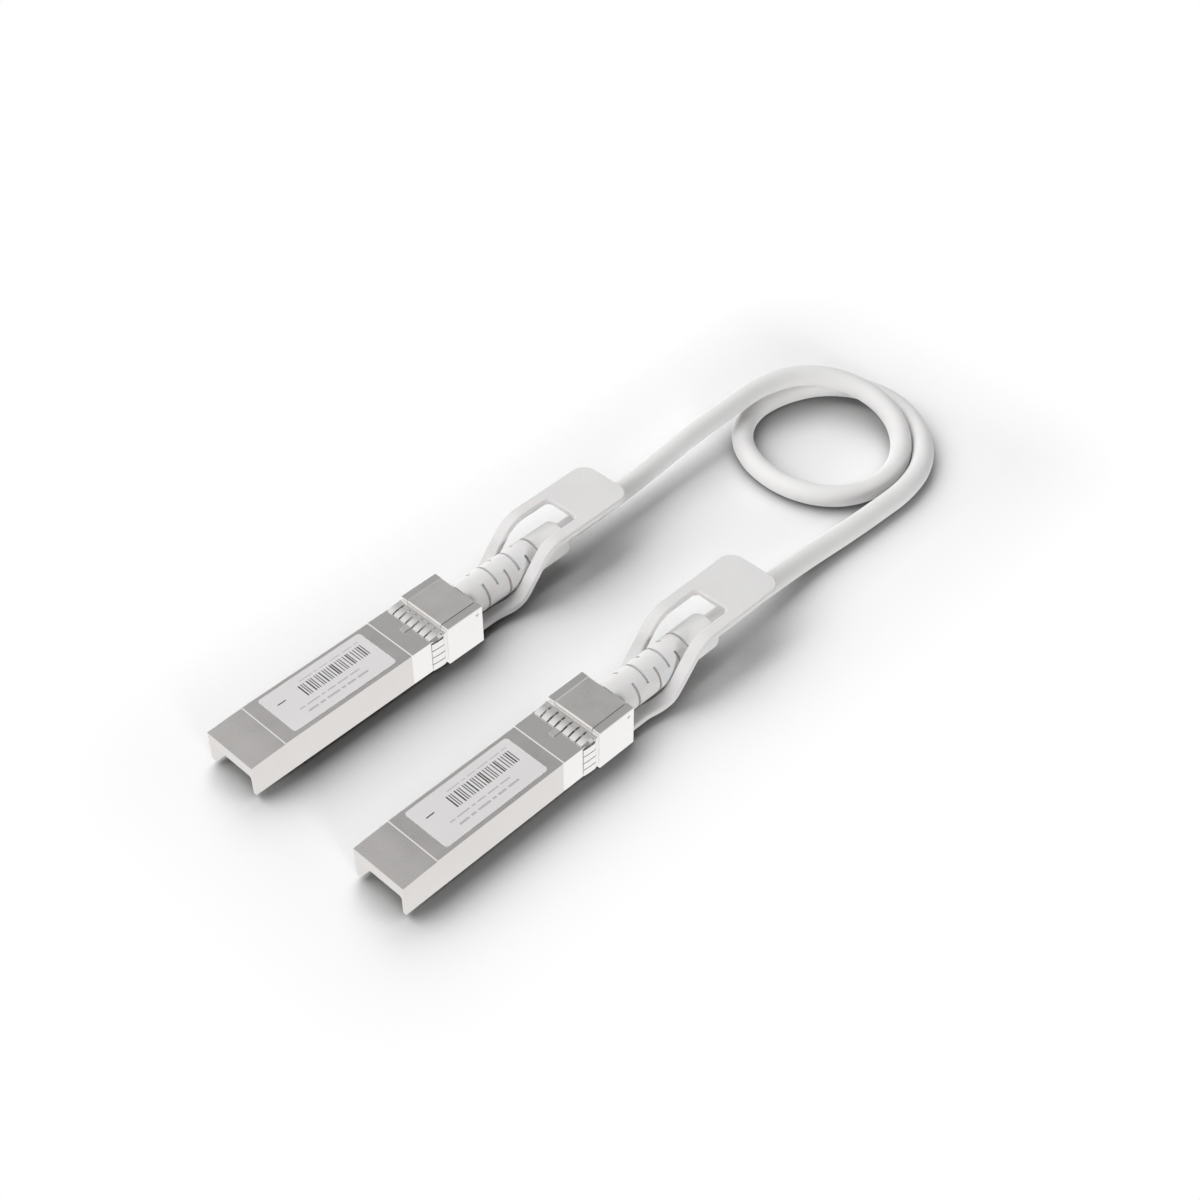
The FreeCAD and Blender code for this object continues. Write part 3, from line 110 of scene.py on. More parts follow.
class Wiring:
    """A node tree, with short calls for adding nodes and links."""

    def __init__(self, tree: bpy.types.NodeTree) -> None:
        """Take over a node tree, of a material or of the world, and empty it."""
        self.tree = tree
        self.tree.nodes.clear()

    def add(self, kind: str, **settings: object) -> bpy.types.Node:
        """Add a node.

        Args:
            kind: Blender's name of the node type.
            settings: Properties to set on the node.

        Returns:
            The new node.
        """
        node = self.tree.nodes.new(kind)
        for key, value in settings.items():
            setattr(node, key, value)
        return node

    def link(self, start: Socket, end: Socket) -> None:
        """Link one socket to another."""
        self.tree.links.new(start, end)

    def sums(self, operation: str, first: Socket, second: Socket | float = 0.0) -> Socket:
        """Combine a value with another value or a number, or work on it alone.

        Args:
            operation: Name of the math node's operation.
            first: The first value.
            second: The second value or number, which some operations leave out.

        Returns:
            The result.
        """
        node = self.add("ShaderNodeMath", operation=operation)
        self.link(first, node.inputs[0])
        if isinstance(second, (int, float)):
            node.inputs[1].default_value = second
        else:
            self.link(second, node.inputs[1])
        return node.outputs[0]

    def mean(self, first: Socket, second: Socket) -> Socket:
        """Give the mean of two values."""
        return self.sums("MULTIPLY", self.sums("ADD", first, second), HALF)

    def axes(self, place: Socket) -> dict[str, Socket]:
        """Split a place or a direction.

        Args:
            place: The place or direction.

        Returns:
            Its values along X, Y and Z.
        """
        node = self.add("ShaderNodeSeparateXYZ")
        self.link(place, node.inputs["Vector"])
        return {axis: node.outputs[axis] for axis in "XYZ"}

    def ramp(self, value: Socket, stops: list[tuple[float, Triple]]) -> Socket:
        """Turn a value into a colour.

        Args:
            value: The value, from 0 to 1.
            stops: Places along the ramp and their linear colours.

        Returns:
            The colour.
        """
        node = self.add("ShaderNodeValToRGB")
        while len(node.color_ramp.elements) < len(stops):
            node.color_ramp.elements.new(HALF)
        for element, (at, colour) in zip(node.color_ramp.elements, stops):
            element.position = at
            element.color = (*colour, 1.0)
        self.link(value, node.inputs["Fac"])
        return node.outputs["Color"]

    def spread(self, value: Socket, target: Pair, within: Pair = GRAIN_BAND) -> Socket:
        """Map a value to a range.

        Args:
            value: The value to map.
            target: What the lowest and the highest value that count become.
            within: Lowest and highest value that count.

        Returns:
            The mapped value.
        """
        node = self.add("ShaderNodeMapRange")
        names = ("From Min", "From Max", "To Min", "To Max")
        for key, number in zip(names, within + target):
            node.inputs[key].default_value = number
        self.link(value, node.inputs["Value"])
        return node.outputs["Result"]

    def glow(self, colour: Socket | Triple) -> Socket:
        """Add plain light of one colour.

        Args:
            colour: A linked or a fixed linear colour.

        Returns:
            The light's shader.
        """
        node = self.add("ShaderNodeEmission")
        if isinstance(colour, tuple):
            node.inputs["Color"].default_value = (*colour, 1.0)
        else:
            self.link(colour, node.inputs["Color"])
        return node.outputs["Emission"]

    def either(self, share: Socket, first: Socket, second: Socket) -> Socket:
        """Mix two shaders.

        Args:
            share: Share of the second shader.
            first: The shader at share 0.
            second: The shader at share 1.

        Returns:
            The mixed shader.
        """
        node = self.add("ShaderNodeMixShader")
        for socket, source in zip(node.inputs, (share, first, second)):
            self.link(source, socket)
        return node.outputs["Shader"]

    def camera_rays(self) -> Socket:
        """Give 1 for a ray straight from the camera, else 0."""
        return self.add("ShaderNodeLightPath").outputs["Is Camera Ray"]

    def mirrored_rays(self) -> Socket:
        """Tell the rays that a shiny surface sends straight from the camera.

        Returns:
            1 for such a ray, else 0.
        """
        seen = self.add("ShaderNodeLightPath").outputs
        shiny = self.sums("MAXIMUM", seen["Is Glossy Ray"], seen["Is Transmission Ray"])
        straight = self.sums("LESS_THAN", seen["Diffuse Depth"], HALF)
        return self.sums("MULTIPLY", shiny, straight)


class NodeBoard(Wiring):
    """One material's node tree, with short calls for what the finishes share."""

    def __init__(self, name: str) -> None:
        """Start a material with a principled shader on its surface.

        Args:
            name: Name of the material.
        """
        self.material = bpy.data.materials.new(name)
        self.material.use_nodes = True
        super().__init__(self.material.node_tree)
        self.surface = self.add("ShaderNodeOutputMaterial").inputs["Surface"]
        self.shader = self.add("ShaderNodeBsdfPrincipled")
        self.link(self.shader.outputs["BSDF"], self.surface)
        self.place = self.add("ShaderNodeTexCoord").outputs["Object"]

    def constant(self, socket: str, value: float) -> None:
        """Set a number that is the same all over the surface on the shader itself."""
        self.shader.inputs[socket].default_value = value

    def noise(self, size: float, detail: Detail = Detail.PLAIN, lay: Lay = Lay.EVEN) -> Socket:
        """Add cloudy grain in object space.

        Args:
            size: Size of a grain in millimetres.
            detail: Finer grain inside it.
            lay: Direction in which the grain is drawn out.

        Returns:
            The grain's value, from 0 to 1.
        """
        mapping = self.add("ShaderNodeMapping")
        mapping.inputs["Scale"].default_value = lay.value
        self.link(self.place, mapping.inputs["Vector"])
        texture = self.add("ShaderNodeTexNoise")
        texture.inputs["Scale"].default_value = 1.0 / (size * MM)
        texture.inputs["Detail"].default_value = detail.value
        self.link(mapping.outputs["Vector"], texture.inputs["Vector"])
        return texture.outputs["Fac"]

    def colour(self, value: Socket) -> None:
        """Link a colour to the shader."""
        self.link(value, self.shader.inputs["Base Color"])

    def two_tone(self, value: Socket, tones: Pair, first: Triple, second: Triple) -> None:
        """Colour the surface from a first to a second colour between two values."""
        self.colour(self.ramp(value, list(zip(tones, (first, second)))))

    def gloss(self, value: Socket, rough: float, swing: Pair, within: Pair = GRAIN_BAND) -> None:
        """Let the roughness swing with a value.

        Args:
            value: The value that it follows.
            rough: The middle roughness.
            swing: Factors on the middle roughness at both ends.
            within: Values at which the ends are reached.
        """
        low, high = swing
        roughness = self.spread(value, (rough * low, rough * high), within)
        self.link(roughness, self.shader.inputs["Roughness"])

    def relief(self, height: Socket, depth: float, strength: float) -> None:
        """Raise fine relief on the surface.

        Args:
            height: Height of the relief, from 0 to 1.
            depth: Height of a full step in millimetres.
            strength: Share of the relief that shows.
        """
        bump = self.add("ShaderNodeBump")
        bump.inputs["Distance"].default_value = depth * MM
        bump.inputs["Strength"].default_value = strength
        self.link(height, bump.inputs["Height"])
        self.link(bump.outputs["Normal"], self.shader.inputs["Normal"])


def shade(colour: Triple, share: float) -> Triple:
    """Darken or lighten a linear colour by a factor, up to 1 in each channel."""
    red, green, blue = (min(1.0, channel * share) for channel in colour)
    return red, green, blue


def grey(level: float) -> Triple:
    """Give the grey of one level."""
    return level, level, level


def deselect() -> None:
    """Deselect everything, so that operators act on a new primitive alone."""
    bpy.ops.object.select_all(action="DESELECT")


@contextmanager
def all_in_edit_mode() -> Iterator[None]:
    """Open the active mesh in edit mode with all of it selected, and close it after.

    Yields:
        Nothing: operators in the block act on the open mesh.
    """
    bpy.ops.object.mode_set(mode="EDIT")
    bpy.ops.mesh.select_all(action="SELECT")
    yield
    bpy.ops.object.mode_set(mode="OBJECT")


def apply_place() -> None:
    """Move the place, turn and scale of what is selected into its meshes."""
    bpy.ops.object.transform_apply(location=True, rotation=True, scale=True)


def twin(piece: Piece) -> Piece:
    """Copy a piece.

    Args:
        piece: The piece to copy.

    Returns:
        The copy, with a mesh of its own.
    """
    copy = piece.copy()
    copy.data = piece.data.copy()
    bpy.context.scene.collection.objects.link(copy)
    return copy


def join(pieces: list[Piece], name: str) -> Piece:
    """Join pieces into one.

    Args:
        pieces: The pieces to join.
        name: Name of the whole.

    Returns:
        The whole, at the origin.
    """
    deselect()
    for piece in pieces:
        piece.select_set(True)
    bpy.context.view_layer.objects.active = pieces[0]
    apply_place()
    bpy.ops.object.join()
    whole = bpy.context.object
    whole.name = name
    return whole


@dataclass(frozen=True)
class Finish:
    """What every finish has: a name, a linear colour and a middle roughness.

    The sizes of its grain and relief are in millimetres.
    """

    name: str
    base: Triple
    rough: float

    def material(self) -> bpy.types.Material:
        """Give the finish's material, building it the first time.

        Returns:
            The material.
        """
        known = bpy.data.materials.get(self.name)
        if known is not None:
            return known
        board = NodeBoard(self.name)
        self.paint(board)
        return board.material

    def paint(self, board: NodeBoard) -> None:
        """Lay out the nodes of the finish on a board."""
        raise NotImplementedError


@dataclass(frozen=True)
class Plating(Finish):
    """Plated or bare metal with a fine grain and faint clouds."""

    grain: float = 0.12
    mottle: float = 0.07
    depth: float = 0.006
    strength: float = 0.25
    lay: Lay = Lay.EVEN
    cloud: float = 5.0
    tones: Pair = (0.32, 0.68)
    swing: Pair = (0.8, 1.2)
    swing_band: Pair = (0.3, 0.7)

    def paint(self, board: NodeBoard) -> None:
        """Lay out clouds in the colour, grain in the gloss and in the relief.

        Args:
            board: Board of the finish's material.
        """
        fine = board.noise(self.grain, Detail.FINE, self.lay)
        both = board.mean(fine, board.noise(self.cloud))
        board.constant("Metallic", 1.0)
        board.two_tone(both, self.tones, shade(self.base, 1 - self.mottle), self.base)
        board.gloss(both, self.rough, self.swing, self.swing_band)
        board.relief(fine, self.depth, self.strength)


@dataclass(frozen=True)
class Moulding(Finish):
    """Moulded plastic or rubber with a finely pebbled skin."""

    pebble: float = 0.22
    depth: float = 0.01
    strength: float = 0.3
    mottle: float = 0.04
    depth_of_light: float = 0.0
    share_of_light: float = 0.12
    cloud: float = 7.0
    tones: Pair = (0.3, 0.7)
    swing: Pair = (0.88, 1.12)

    def paint(self, board: NodeBoard) -> None:
        """Lay out a cloudy colour, an uneven gloss and the pebbled relief.

        Args:
            board: Board of the finish's material.
        """
        pebbles = board.noise(self.pebble)
        cloud = board.noise(self.cloud, Detail.FINE)
        board.two_tone(cloud, self.tones, shade(self.base, 1 - self.mottle), self.base)
        board.gloss(pebbles, self.rough, self.swing)
        board.relief(pebbles, self.depth, self.strength)
        if self.depth_of_light:
            board.constant("Subsurface Weight", self.share_of_light)
            board.constant("Subsurface Scale", self.depth_of_light * MM)


@dataclass(frozen=True)
class Film(Finish):
    """Printed label film with faint fibres and a thin gloss."""

    fibre: float = 0.3
    cloud: float = 9.0
    tones: Pair = (0.3, 0.7)
    shades: Pair = (0.95, 1.02)
    swing: Pair = (0.9, 1.1)
    depth: float = 0.004
    strength: float = 0.15

    def paint(self, board: NodeBoard) -> None:
        """Lay out fibres drawn along the label over faint clouds.

        Args:
            board: Board of the finish's material.
        """
        fibres = board.noise(self.fibre, Detail.FINEST, Lay.ALONG)
        both = board.mean(fibres, board.noise(self.cloud, Detail.COARSE))
        dark, pale = (shade(self.base, share) for share in self.shades)
        board.two_tone(both, self.tones, dark, pale)
        board.gloss(fibres, self.rough, self.swing)
        board.relief(fibres, self.depth, self.strength)


@dataclass(frozen=True)
class Ink(Finish):
    """Thermal print with pale specks where it did not take."""

    speck: float = 0.07
    paleness: float = 2.2
    tones: Pair = (0.62, 0.78)
    swing: Pair = (0.9, 1.2)

    def paint(self, board: NodeBoard) -> None:
        """Lay out a dark ground with scattered pale specks.

        Args:
            board: Board of the finish's material.
        """
        specks = board.noise(self.speck, Detail.COARSE)
        board.two_tone(specks, self.tones, self.base, shade(self.base, self.paleness))
        board.gloss(specks, self.rough, self.swing)


@dataclass(frozen=True)
class Laminate(Finish):
    """Circuit board with lacquer over parallel copper tracks."""

    track: Triple = (0.03, 0.16, 0.06)
    pitch: float = 0.8
    track_edge: Pair = (0.45, 0.55)
    edge_shade: float = 0.85
    crest_shade: float = 1.1
    weave: float = 0.15
    swing: Pair = (0.8, 1.2)
    depth: float = 0.03
    strength: float = 0.4

    def paint(self, board: NodeBoard) -> None:
        """Lay out tracks along the card, raised a little under the lacquer.

        Args:
            board: Board of the finish's material.
        """
        across = board.sums("MULTIPLY", board.axes(board.place)["Y"], 1 / (self.pitch * MM))
        band = board.sums("PINGPONG", across, HALF)
        foot, top = self.track_edge
        board.colour(board.ramp(board.sums("MULTIPLY", band, 1 / HALF), [
            (0.0, self.base), (foot, shade(self.base, self.edge_shade)),
            (top, self.track), (1.0, shade(self.track, self.crest_shade))]))
        board.gloss(board.noise(self.weave, Detail.COARSE), self.rough, self.swing)
        board.relief(band, self.depth, self.strength)


@dataclass(frozen=True)
class Capacitor(Finish):
    """Small ceramic block with plated ends, told apart by their distance from its middle."""

    cap: Triple = (0.62, 0.60, 0.56)
    cap_metal: float = 0.9
    middle: float = 0.0
    half_body: float = 0.25
    cap_edge: Pair = (0.48, 0.52)
    grain: float = 0.1
    swing: Pair = (0.85, 1.15)

    def paint(self, board: NodeBoard) -> None:
        """Lay out the ceramic body between two plated ends.

        Args:
            board: Board of the finish's material.
        """
        off_middle = board.sums("SUBTRACT", board.axes(board.place)["X"], self.middle * MM)
        share = board.sums("DIVIDE", board.sums("ABSOLUTE", off_middle), 2 * self.half_body * MM)
        inner, outer = self.cap_edge
        board.colour(board.ramp(share, [
            (0.0, self.base), (inner, self.base), (outer, self.cap), (1.0, self.cap)]))
        metal = board.spread(share, (0.0, self.cap_metal), self.cap_edge)
        board.link(metal, board.shader.inputs["Metallic"])
        board.gloss(board.noise(self.grain), self.rough, self.swing)


@dataclass(frozen=True)
class Braid(Finish):
    """Woven shield wires running both ways round the cable's axis."""

    axis_y: float = 0.0
    axis_z: float = 0.0
    carriers: float = 8.0
    lay_length: float = 9.0
    tones: Pair = (0.2, 0.8)
    # Painted shade: share of the colour left in the gaps between the wire bundles.
    painted_gap_shade: float = 0.35
    swing: Pair = (1.3, 0.9)
    depth: float = 0.12
    strength: float = 0.8

    def paint(self, board: NodeBoard) -> None:
        """Lay out two crossing sets of wire bundles by angle and length, with painted shade in
        their gaps.

        Args:
            board: Board of the finish's material.
        """
        axes = board.axes(board.place)
        side = board.sums("SUBTRACT", axes["Y"], self.axis_y * MM)
        rise = board.sums("SUBTRACT", axes["Z"], self.axis_z * MM)
        turn = board.sums("MULTIPLY", board.sums("ARCTAN2", side, rise), self.carriers)
        per_metre = self.carriers * math.tau / (self.lay_length * MM)
        run = board.sums("MULTIPLY", axes["X"], per_metre)
        right = board.sums("SINE", board.sums("ADD", turn, run))
        left = board.sums("SINE", board.sums("SUBTRACT", turn, run))
        weave = board.spread(board.sums("MAXIMUM", right, left), UNIT, SIGNED)
        board.constant("Metallic", 1.0)
        # Painted shade darkens the gaps between the bundles.
        board.two_tone(weave, self.tones, shade(self.base, self.painted_gap_shade), self.base)
        board.gloss(weave, self.rough, self.swing, UNIT)
        board.relief(weave, self.depth, self.strength)


SATIN = Plating("satin_nickel", (0.775, 0.750, 0.733), 0.30,
                grain=0.14, mottle=0.06, strength=0.22)
CAP_METAL = Plating("cap_nickel", (0.885, 0.858, 0.838), 0.30,
                    grain=0.14, mottle=0.06, strength=0.22)
BRIGHT = Plating("bright_nickel", (0.910, 0.898, 0.888), 0.16,
                 grain=0.2, mottle=0.03, strength=0.08)
FINGER_METAL = Plating("finger_nickel", (0.915, 0.903, 0.892), 0.30,
                       grain=0.15, mottle=0.05, strength=0.08, lay=Lay.ALONG)
PIN_STEEL = Plating("pin_steel_skin", (0.74, 0.73, 0.72), 0.28)
SCREW_ZINC = Plating("screw_zinc", (0.48, 0.48, 0.47), 0.34, grain=0.1)
SLIDE_STEEL = Plating("slide_steel_skin", (0.56, 0.555, 0.55), 0.27, grain=0.08, lay=Lay.ALONG)
SPRING_STEEL = Plating("spring_steel_skin", (0.46, 0.455, 0.45), 0.24, grain=0.05)
PAD_GOLD = Plating("pad_gold", (0.83, 0.58, 0.22), 0.22, grain=0.08, lay=Lay.ALONG)
TIP_COPPER = Plating("tip_copper", (0.86, 0.45, 0.28), 0.26, grain=0.06, lay=Lay.ALONG)
SOLDER_TIN = Plating("solder_tin", (0.66, 0.66, 0.65), 0.22,
                     grain=0.3, mottle=0.15, strength=0.3)
FERRULE_TIN = Plating("ferrule_tin", (0.70, 0.68, 0.64), 0.3, grain=0.1, lay=Lay.ACROSS)
TAB_SKIN = Moulding("tab_skin", (0.695, 0.686, 0.682), 0.46, pebble=0.25, depth_of_light=0.5)
BOOT_SKIN = Moulding("boot_skin", (0.738, 0.730, 0.725), 0.55, pebble=0.2, depth_of_light=0.5)
JACKET_SKIN = Moulding("cable_jacket_skin", (0.745, 0.738, 0.734), 0.48, pebble=0.3, depth=0.008)
CORE_FOAM = Moulding("core_foam", (0.62, 0.66, 0.72), 0.5, pebble=0.12, depth_of_light=0.3)
CHIP_RESIN = Moulding("chip_resin", (0.022, 0.022, 0.024), 0.5, pebble=0.06, depth=0.006)
CERAMIC = Capacitor("capacitor_ceramic", (0.36, 0.22, 0.12), 0.42)
BRAID_TIN = Braid("braid_tin", (0.74, 0.71, 0.67), 0.3)
CARD_LACQUER = Laminate("card_lacquer", (0.012, 0.075, 0.03), 0.32)
LABEL_FILM = Film("label_film_skin", (0.655, 0.643, 0.643), 0.42)
LABEL_INK = Ink("label_ink", (0.035, 0.034, 0.034), 0.55)
FAINT_INK = Ink("label_faint_ink", (0.42, 0.41, 0.405), 0.55)


@dataclass
class PhotoCamera:
    """Camera at the photograph's place, in millimetres and degrees, with its range in metres."""

    place: Triple = (-177.59, -196.954, 279.846)
    pitch: float = 43.867
    yaw: float = 43.852
    lens: float = 57.485
    sensor: float = 36.0
    seen_range: Pair = (0.01, 20.0)

    def build(self) -> None:
        """Make the camera and give it to the scene."""
        pitch, yaw = math.radians(self.pitch), math.radians(self.yaw)
        level = math.cos(pitch)
        ahead = Vector((level * math.cos(yaw), level * math.sin(yaw), -math.sin(pitch)))
        right = Vector((math.sin(yaw), -math.cos(yaw), 0.0))
        up = right.cross(ahead)
        turn = Matrix((right, up, -ahead)).transposed().to_4x4()
        bpy.ops.object.camera_add()
        camera = bpy.context.object
        camera.name = "photo_camera"
        camera.matrix_world = Matrix.Translation(Vector(self.place) * MM) @ turn
        camera.data.sensor_width = self.sensor
        camera.data.lens = self.lens
        camera.data.clip_start, camera.data.clip_end = self.seen_range
        camera.data.dof.use_dof = False
        bpy.context.scene.camera = camera


@dataclass
class Cable:
    """Round cable from the boot of plug b, through its loop, to the boot of plug a.

    Its sizes and places are in millimetres.
    """

    diameter: float = 4.9
    length: float = 335.0
    leaves_at: Triple = (35.925, 20.715, 5.7)
    route: tuple[Triple, ...] = (
        (26.825, 20.715, 5.7), (38.825, 20.715, 5.7), (51.5, 20.8, 5.9), (62.0, 21.1, 6.2),
        (72.2, 21.7, 6.7), (82.3, 22.0, 7.3), (92.5, 21.8, 7.8), (103.0, 21.8, 8.1),
        (112.7, 18.7, 8.1), (119.4, 10.7, 7.5), (121.4, 0.4, 5.8), (117.9, -8.8, 3.8),
        (109.5, -15.2, 2.6), (98.9, -16.6, 2.45), (89.8, -11.9, 2.45), (85.3, -2.6, 2.45),
        (86.0, 8.3, 2.45), (91.3, 17.1, 2.45), (100.6, 21.6, 2.45), (111.0, 20.6, 2.45),
        (120.5, 15.7, 2.45), (126.1, 7.1, 2.45), (126.0, -3.2, 2.45), (120.9, -12.6, 2.45),
        (112.9, -19.1, 2.45), (103.0, -21.6, 2.45), (92.6, -21.3, 2.45), (82.3, -20.8, 2.45),
        (72.2, -20.2, 2.8), (62.2, -20.4, 4.0), (52.0, -20.9, 5.2), (39.675, -20.715, 5.7),
        (27.675, -20.715, 5.7),
    )
    order: int = 3
    steps_per_point: int = 10
    steps_round: int = 10
    jacket: Finish = JACKET_SKIN

    def build(self) -> Piece:
        """Make the cable as one smooth spline through its route's control points.

        Returns:
            The cable.
        """
        line = bpy.data.curves.new("cable_line", "CURVE")
        line.dimensions = "3D"
        spline = line.splines.new("NURBS")
        spline.points.add(len(self.route) - 1)
        for point, (x, y, z) in zip(spline.points, self.route):
            point.co = (x * MM, y * MM, z * MM, 1.0)
        spline.order_u = self.order
        spline.use_endpoint_u = True
        spline.resolution_u = self.steps_per_point
        line.bevel_depth = self.diameter / 2 * MM
        line.bevel_resolution = self.steps_round
        line.use_fill_caps = True
        cable = bpy.data.objects.new("cable_run", line)
        bpy.context.scene.collection.objects.link(cable)
        return cable

    def dress(self, cable: Piece) -> None:
        """Give the cable its jacket and tell the frame what it is.

        Args:
            cable: The cable.
        """
        cable.data.materials.append(self.jacket.material())
        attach(cable, FIXED_BODY)
        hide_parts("cable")


@dataclass
class LabelPrint:
    """Generic print on one label: bars, a dash and faint broken rules.

    Its sizes and places are in millimetres, counted from the plug's front edge and middle line.
    The rounding of a patch's upper edges is a share of the patch's size.
    """

    suffix: str
    front: float
    middle: float
    level: float = 9.05
    ink_height: float = 0.012
    edge_inset: float = 0.04
    edge_rise: float = 0.12
    bar_low: float = -0.25
    bar_high: float = 3.1
    bars_from: float = 19.3
    bars_to: float = 35.9
    bar_width: float = 0.19
    bar_steps: tuple[int, ...] = (
        4, 3, 5, 4, 3, 5, 3, 4, 5, 3, 4, 4, 3, 5, 4, 3, 5, 4, 3, 5, 4, 4, 3, 4, 5)
    wide_bars: tuple[int, ...] = (0, 3, 8, 12, 13, 18, 23)
    wide_factor: float = 1.6
    dash: Area = (13.5, 15.5, 1.85, 2.1)
    rules: tuple[Triple, ...] = ((16.8, -3.45, 0.5), (15.9, -1.9, 0.32), (20.5, 3.95, 0.2))
    rule_dashes: tuple[float, ...] = (2.4, 1.2, 3.1, 0.9, 2.0, 2.7)
    rule_gap: float = 0.55
    dark: Finish = LABEL_INK
    faint: Finish = FAINT_INK

    def patch(self) -> Piece:
        """Model one raised patch of ink of unit size with softened upper edges.

        Returns:
            The patch, one metre square and one metre high, standing on the origin's plane.
        """
        deselect()
        bpy.ops.mesh.primitive_plane_add(size=1.0, location=ORIGIN)
        patch = bpy.context.object
        with all_in_edit_mode():
            bpy.ops.mesh.extrude_region_move(TRANSFORM_OT_translate={"value": (0.0, 0.0, 1.0)})
            bpy.ops.mesh.inset(thickness=self.edge_inset)
            bpy.ops.transform.translate(value=(0.0, 0.0, self.edge_rise))
            bpy.ops.mesh.select_all(action="SELECT")
            bpy.ops.mesh.normals_make_consistent(inside=False)
        return patch

    def lay_patches(self, name: str, places: list[Area], ink: Finish) -> Piece:
        """Copy the patch to every place and join the copies into one piece.

        Args:
            name: Name of the piece.
            places: Ends in x and in y of every patch, on the plug.
            ink: Finish of the print.

        Returns:
            The joined piece at the origin.
        """
        first = self.patch()
        patches = [first] + [twin(first) for _ in places[1:]]
        for patch, (x0, x1, y0, y1) in zip(patches, places):
            x, y = self.front + (x0 + x1) / 2, self.middle + (y0 + y1) / 2
            patch.location = (x * MM, y * MM, self.level * MM)
            patch.scale = ((x1 - x0) * MM, (y1 - y0) * MM, self.ink_height * MM)
        piece = join(patches, name)
        piece.data.materials.append(ink.material())
        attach(piece, FIXED_BODY)
        return piece

    def bar_places(self) -> list[Area]:
        """Work out the bars' places from their steps.

        Returns:
            Ends in x and in y of every bar, and of the dash.
        """
        step = (self.bars_to - self.bars_from) / sum(self.bar_steps)
        places = []
        x = self.bars_from
        for index, count in enumerate(self.bar_steps):
            width = self.bar_width * (self.wide_factor if index in self.wide_bars else 1.0)
            places.append((x, x + width, self.bar_low, self.bar_high))
            x += count * step
        return places + [self.dash]

    def rule_places(self) -> list[Area]:
        """Work out the places of the broken rules.

        Returns:
            Ends in x and in y of every stroke.
        """
        places = []
        for row, (x, y, height) in enumerate(self.rules):
            for dash in self.rule_dashes[row:] + self.rule_dashes[:row]:
                places.append((x, x + dash, y - height / 2, y + height / 2))
                x += dash + self.rule_gap
        return places

    def build(self) -> list[Piece]:
        """Make the dark bars and the faint rules.

        Returns:
            The two pieces of print.
        """
        bars = self.lay_patches(f"label_bars_{self.suffix}", self.bar_places(), self.dark)
        rules = self.lay_patches(f"label_rules_{self.suffix}", self.rule_places(), self.faint)
        return [bars, rules]


@dataclass
class ReturnSprings:
    """Two fixed coil springs behind one release slide; the real ones shorten as the tab is
    pulled.

    Their sizes are in millimetres.
    """

    suffix: str
    wire: float = 0.18
    wire_flats: int = 8
    turns: int = 4
    steps_per_turn: int = 16
    travel: float = 2.4
    steel: Finish = SPRING_STEEL

    def coil(self, low: Vector, high: Vector) -> Piece:
        """Wind one spring along the middle of a box.

        Args:
            low: Lowest corner of the box, in metres.
            high: Highest corner of the box, in metres.

        Returns:
            The closed coil.
        """
        wire = self.wire * MM
        middle = (low + high) / 2
        radius = (high.z - low.z - wire) / 2
        deselect()
        bpy.ops.mesh.primitive_circle_add(
            vertices=self.wire_flats, radius=wire / 2, location=ORIGIN)
        coil = bpy.context.object
        with all_in_edit_mode():
            bpy.ops.transform.rotate(
                value=math.pi / 2, orient_axis="X", center_override=ORIGIN)
            bpy.ops.transform.translate(value=(low.x + wire / 2, 0.0, radius))
        winding = coil.modifiers.new("winding", "SCREW")
        winding.axis = "X"
        winding.iterations = self.turns
        winding.steps = winding.render_steps = self.steps_per_turn
        winding.screw_offset = (high.x - low.x - wire) / self.turns
        bpy.ops.object.modifier_apply(modifier=winding.name)
        with all_in_edit_mode():
            bpy.ops.mesh.fill_holes(sides=self.wire_flats)
            bpy.ops.mesh.normals_make_consistent(inside=False)
        coil.location = (0.0, middle.y, middle.z)
        apply_place()
        return coil

    def build(self) -> Piece:
        """Make both springs.

        Returns:
            The pair of springs.
        """
        node = f"return_springs_{self.suffix}"
        low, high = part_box(node)
        across = high.z - low.z
        first = self.coil(low, Vector((high.x, low.y + across, high.z)))
        second = twin(first)
        second.location.y = high.y - low.y - across
        springs = join([first, second], f"coil_springs_{self.suffix}")
        springs.data.materials.append(self.steel.material())
        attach(springs, FIXED_BODY)
        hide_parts(node)
        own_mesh(springs)
        return springs


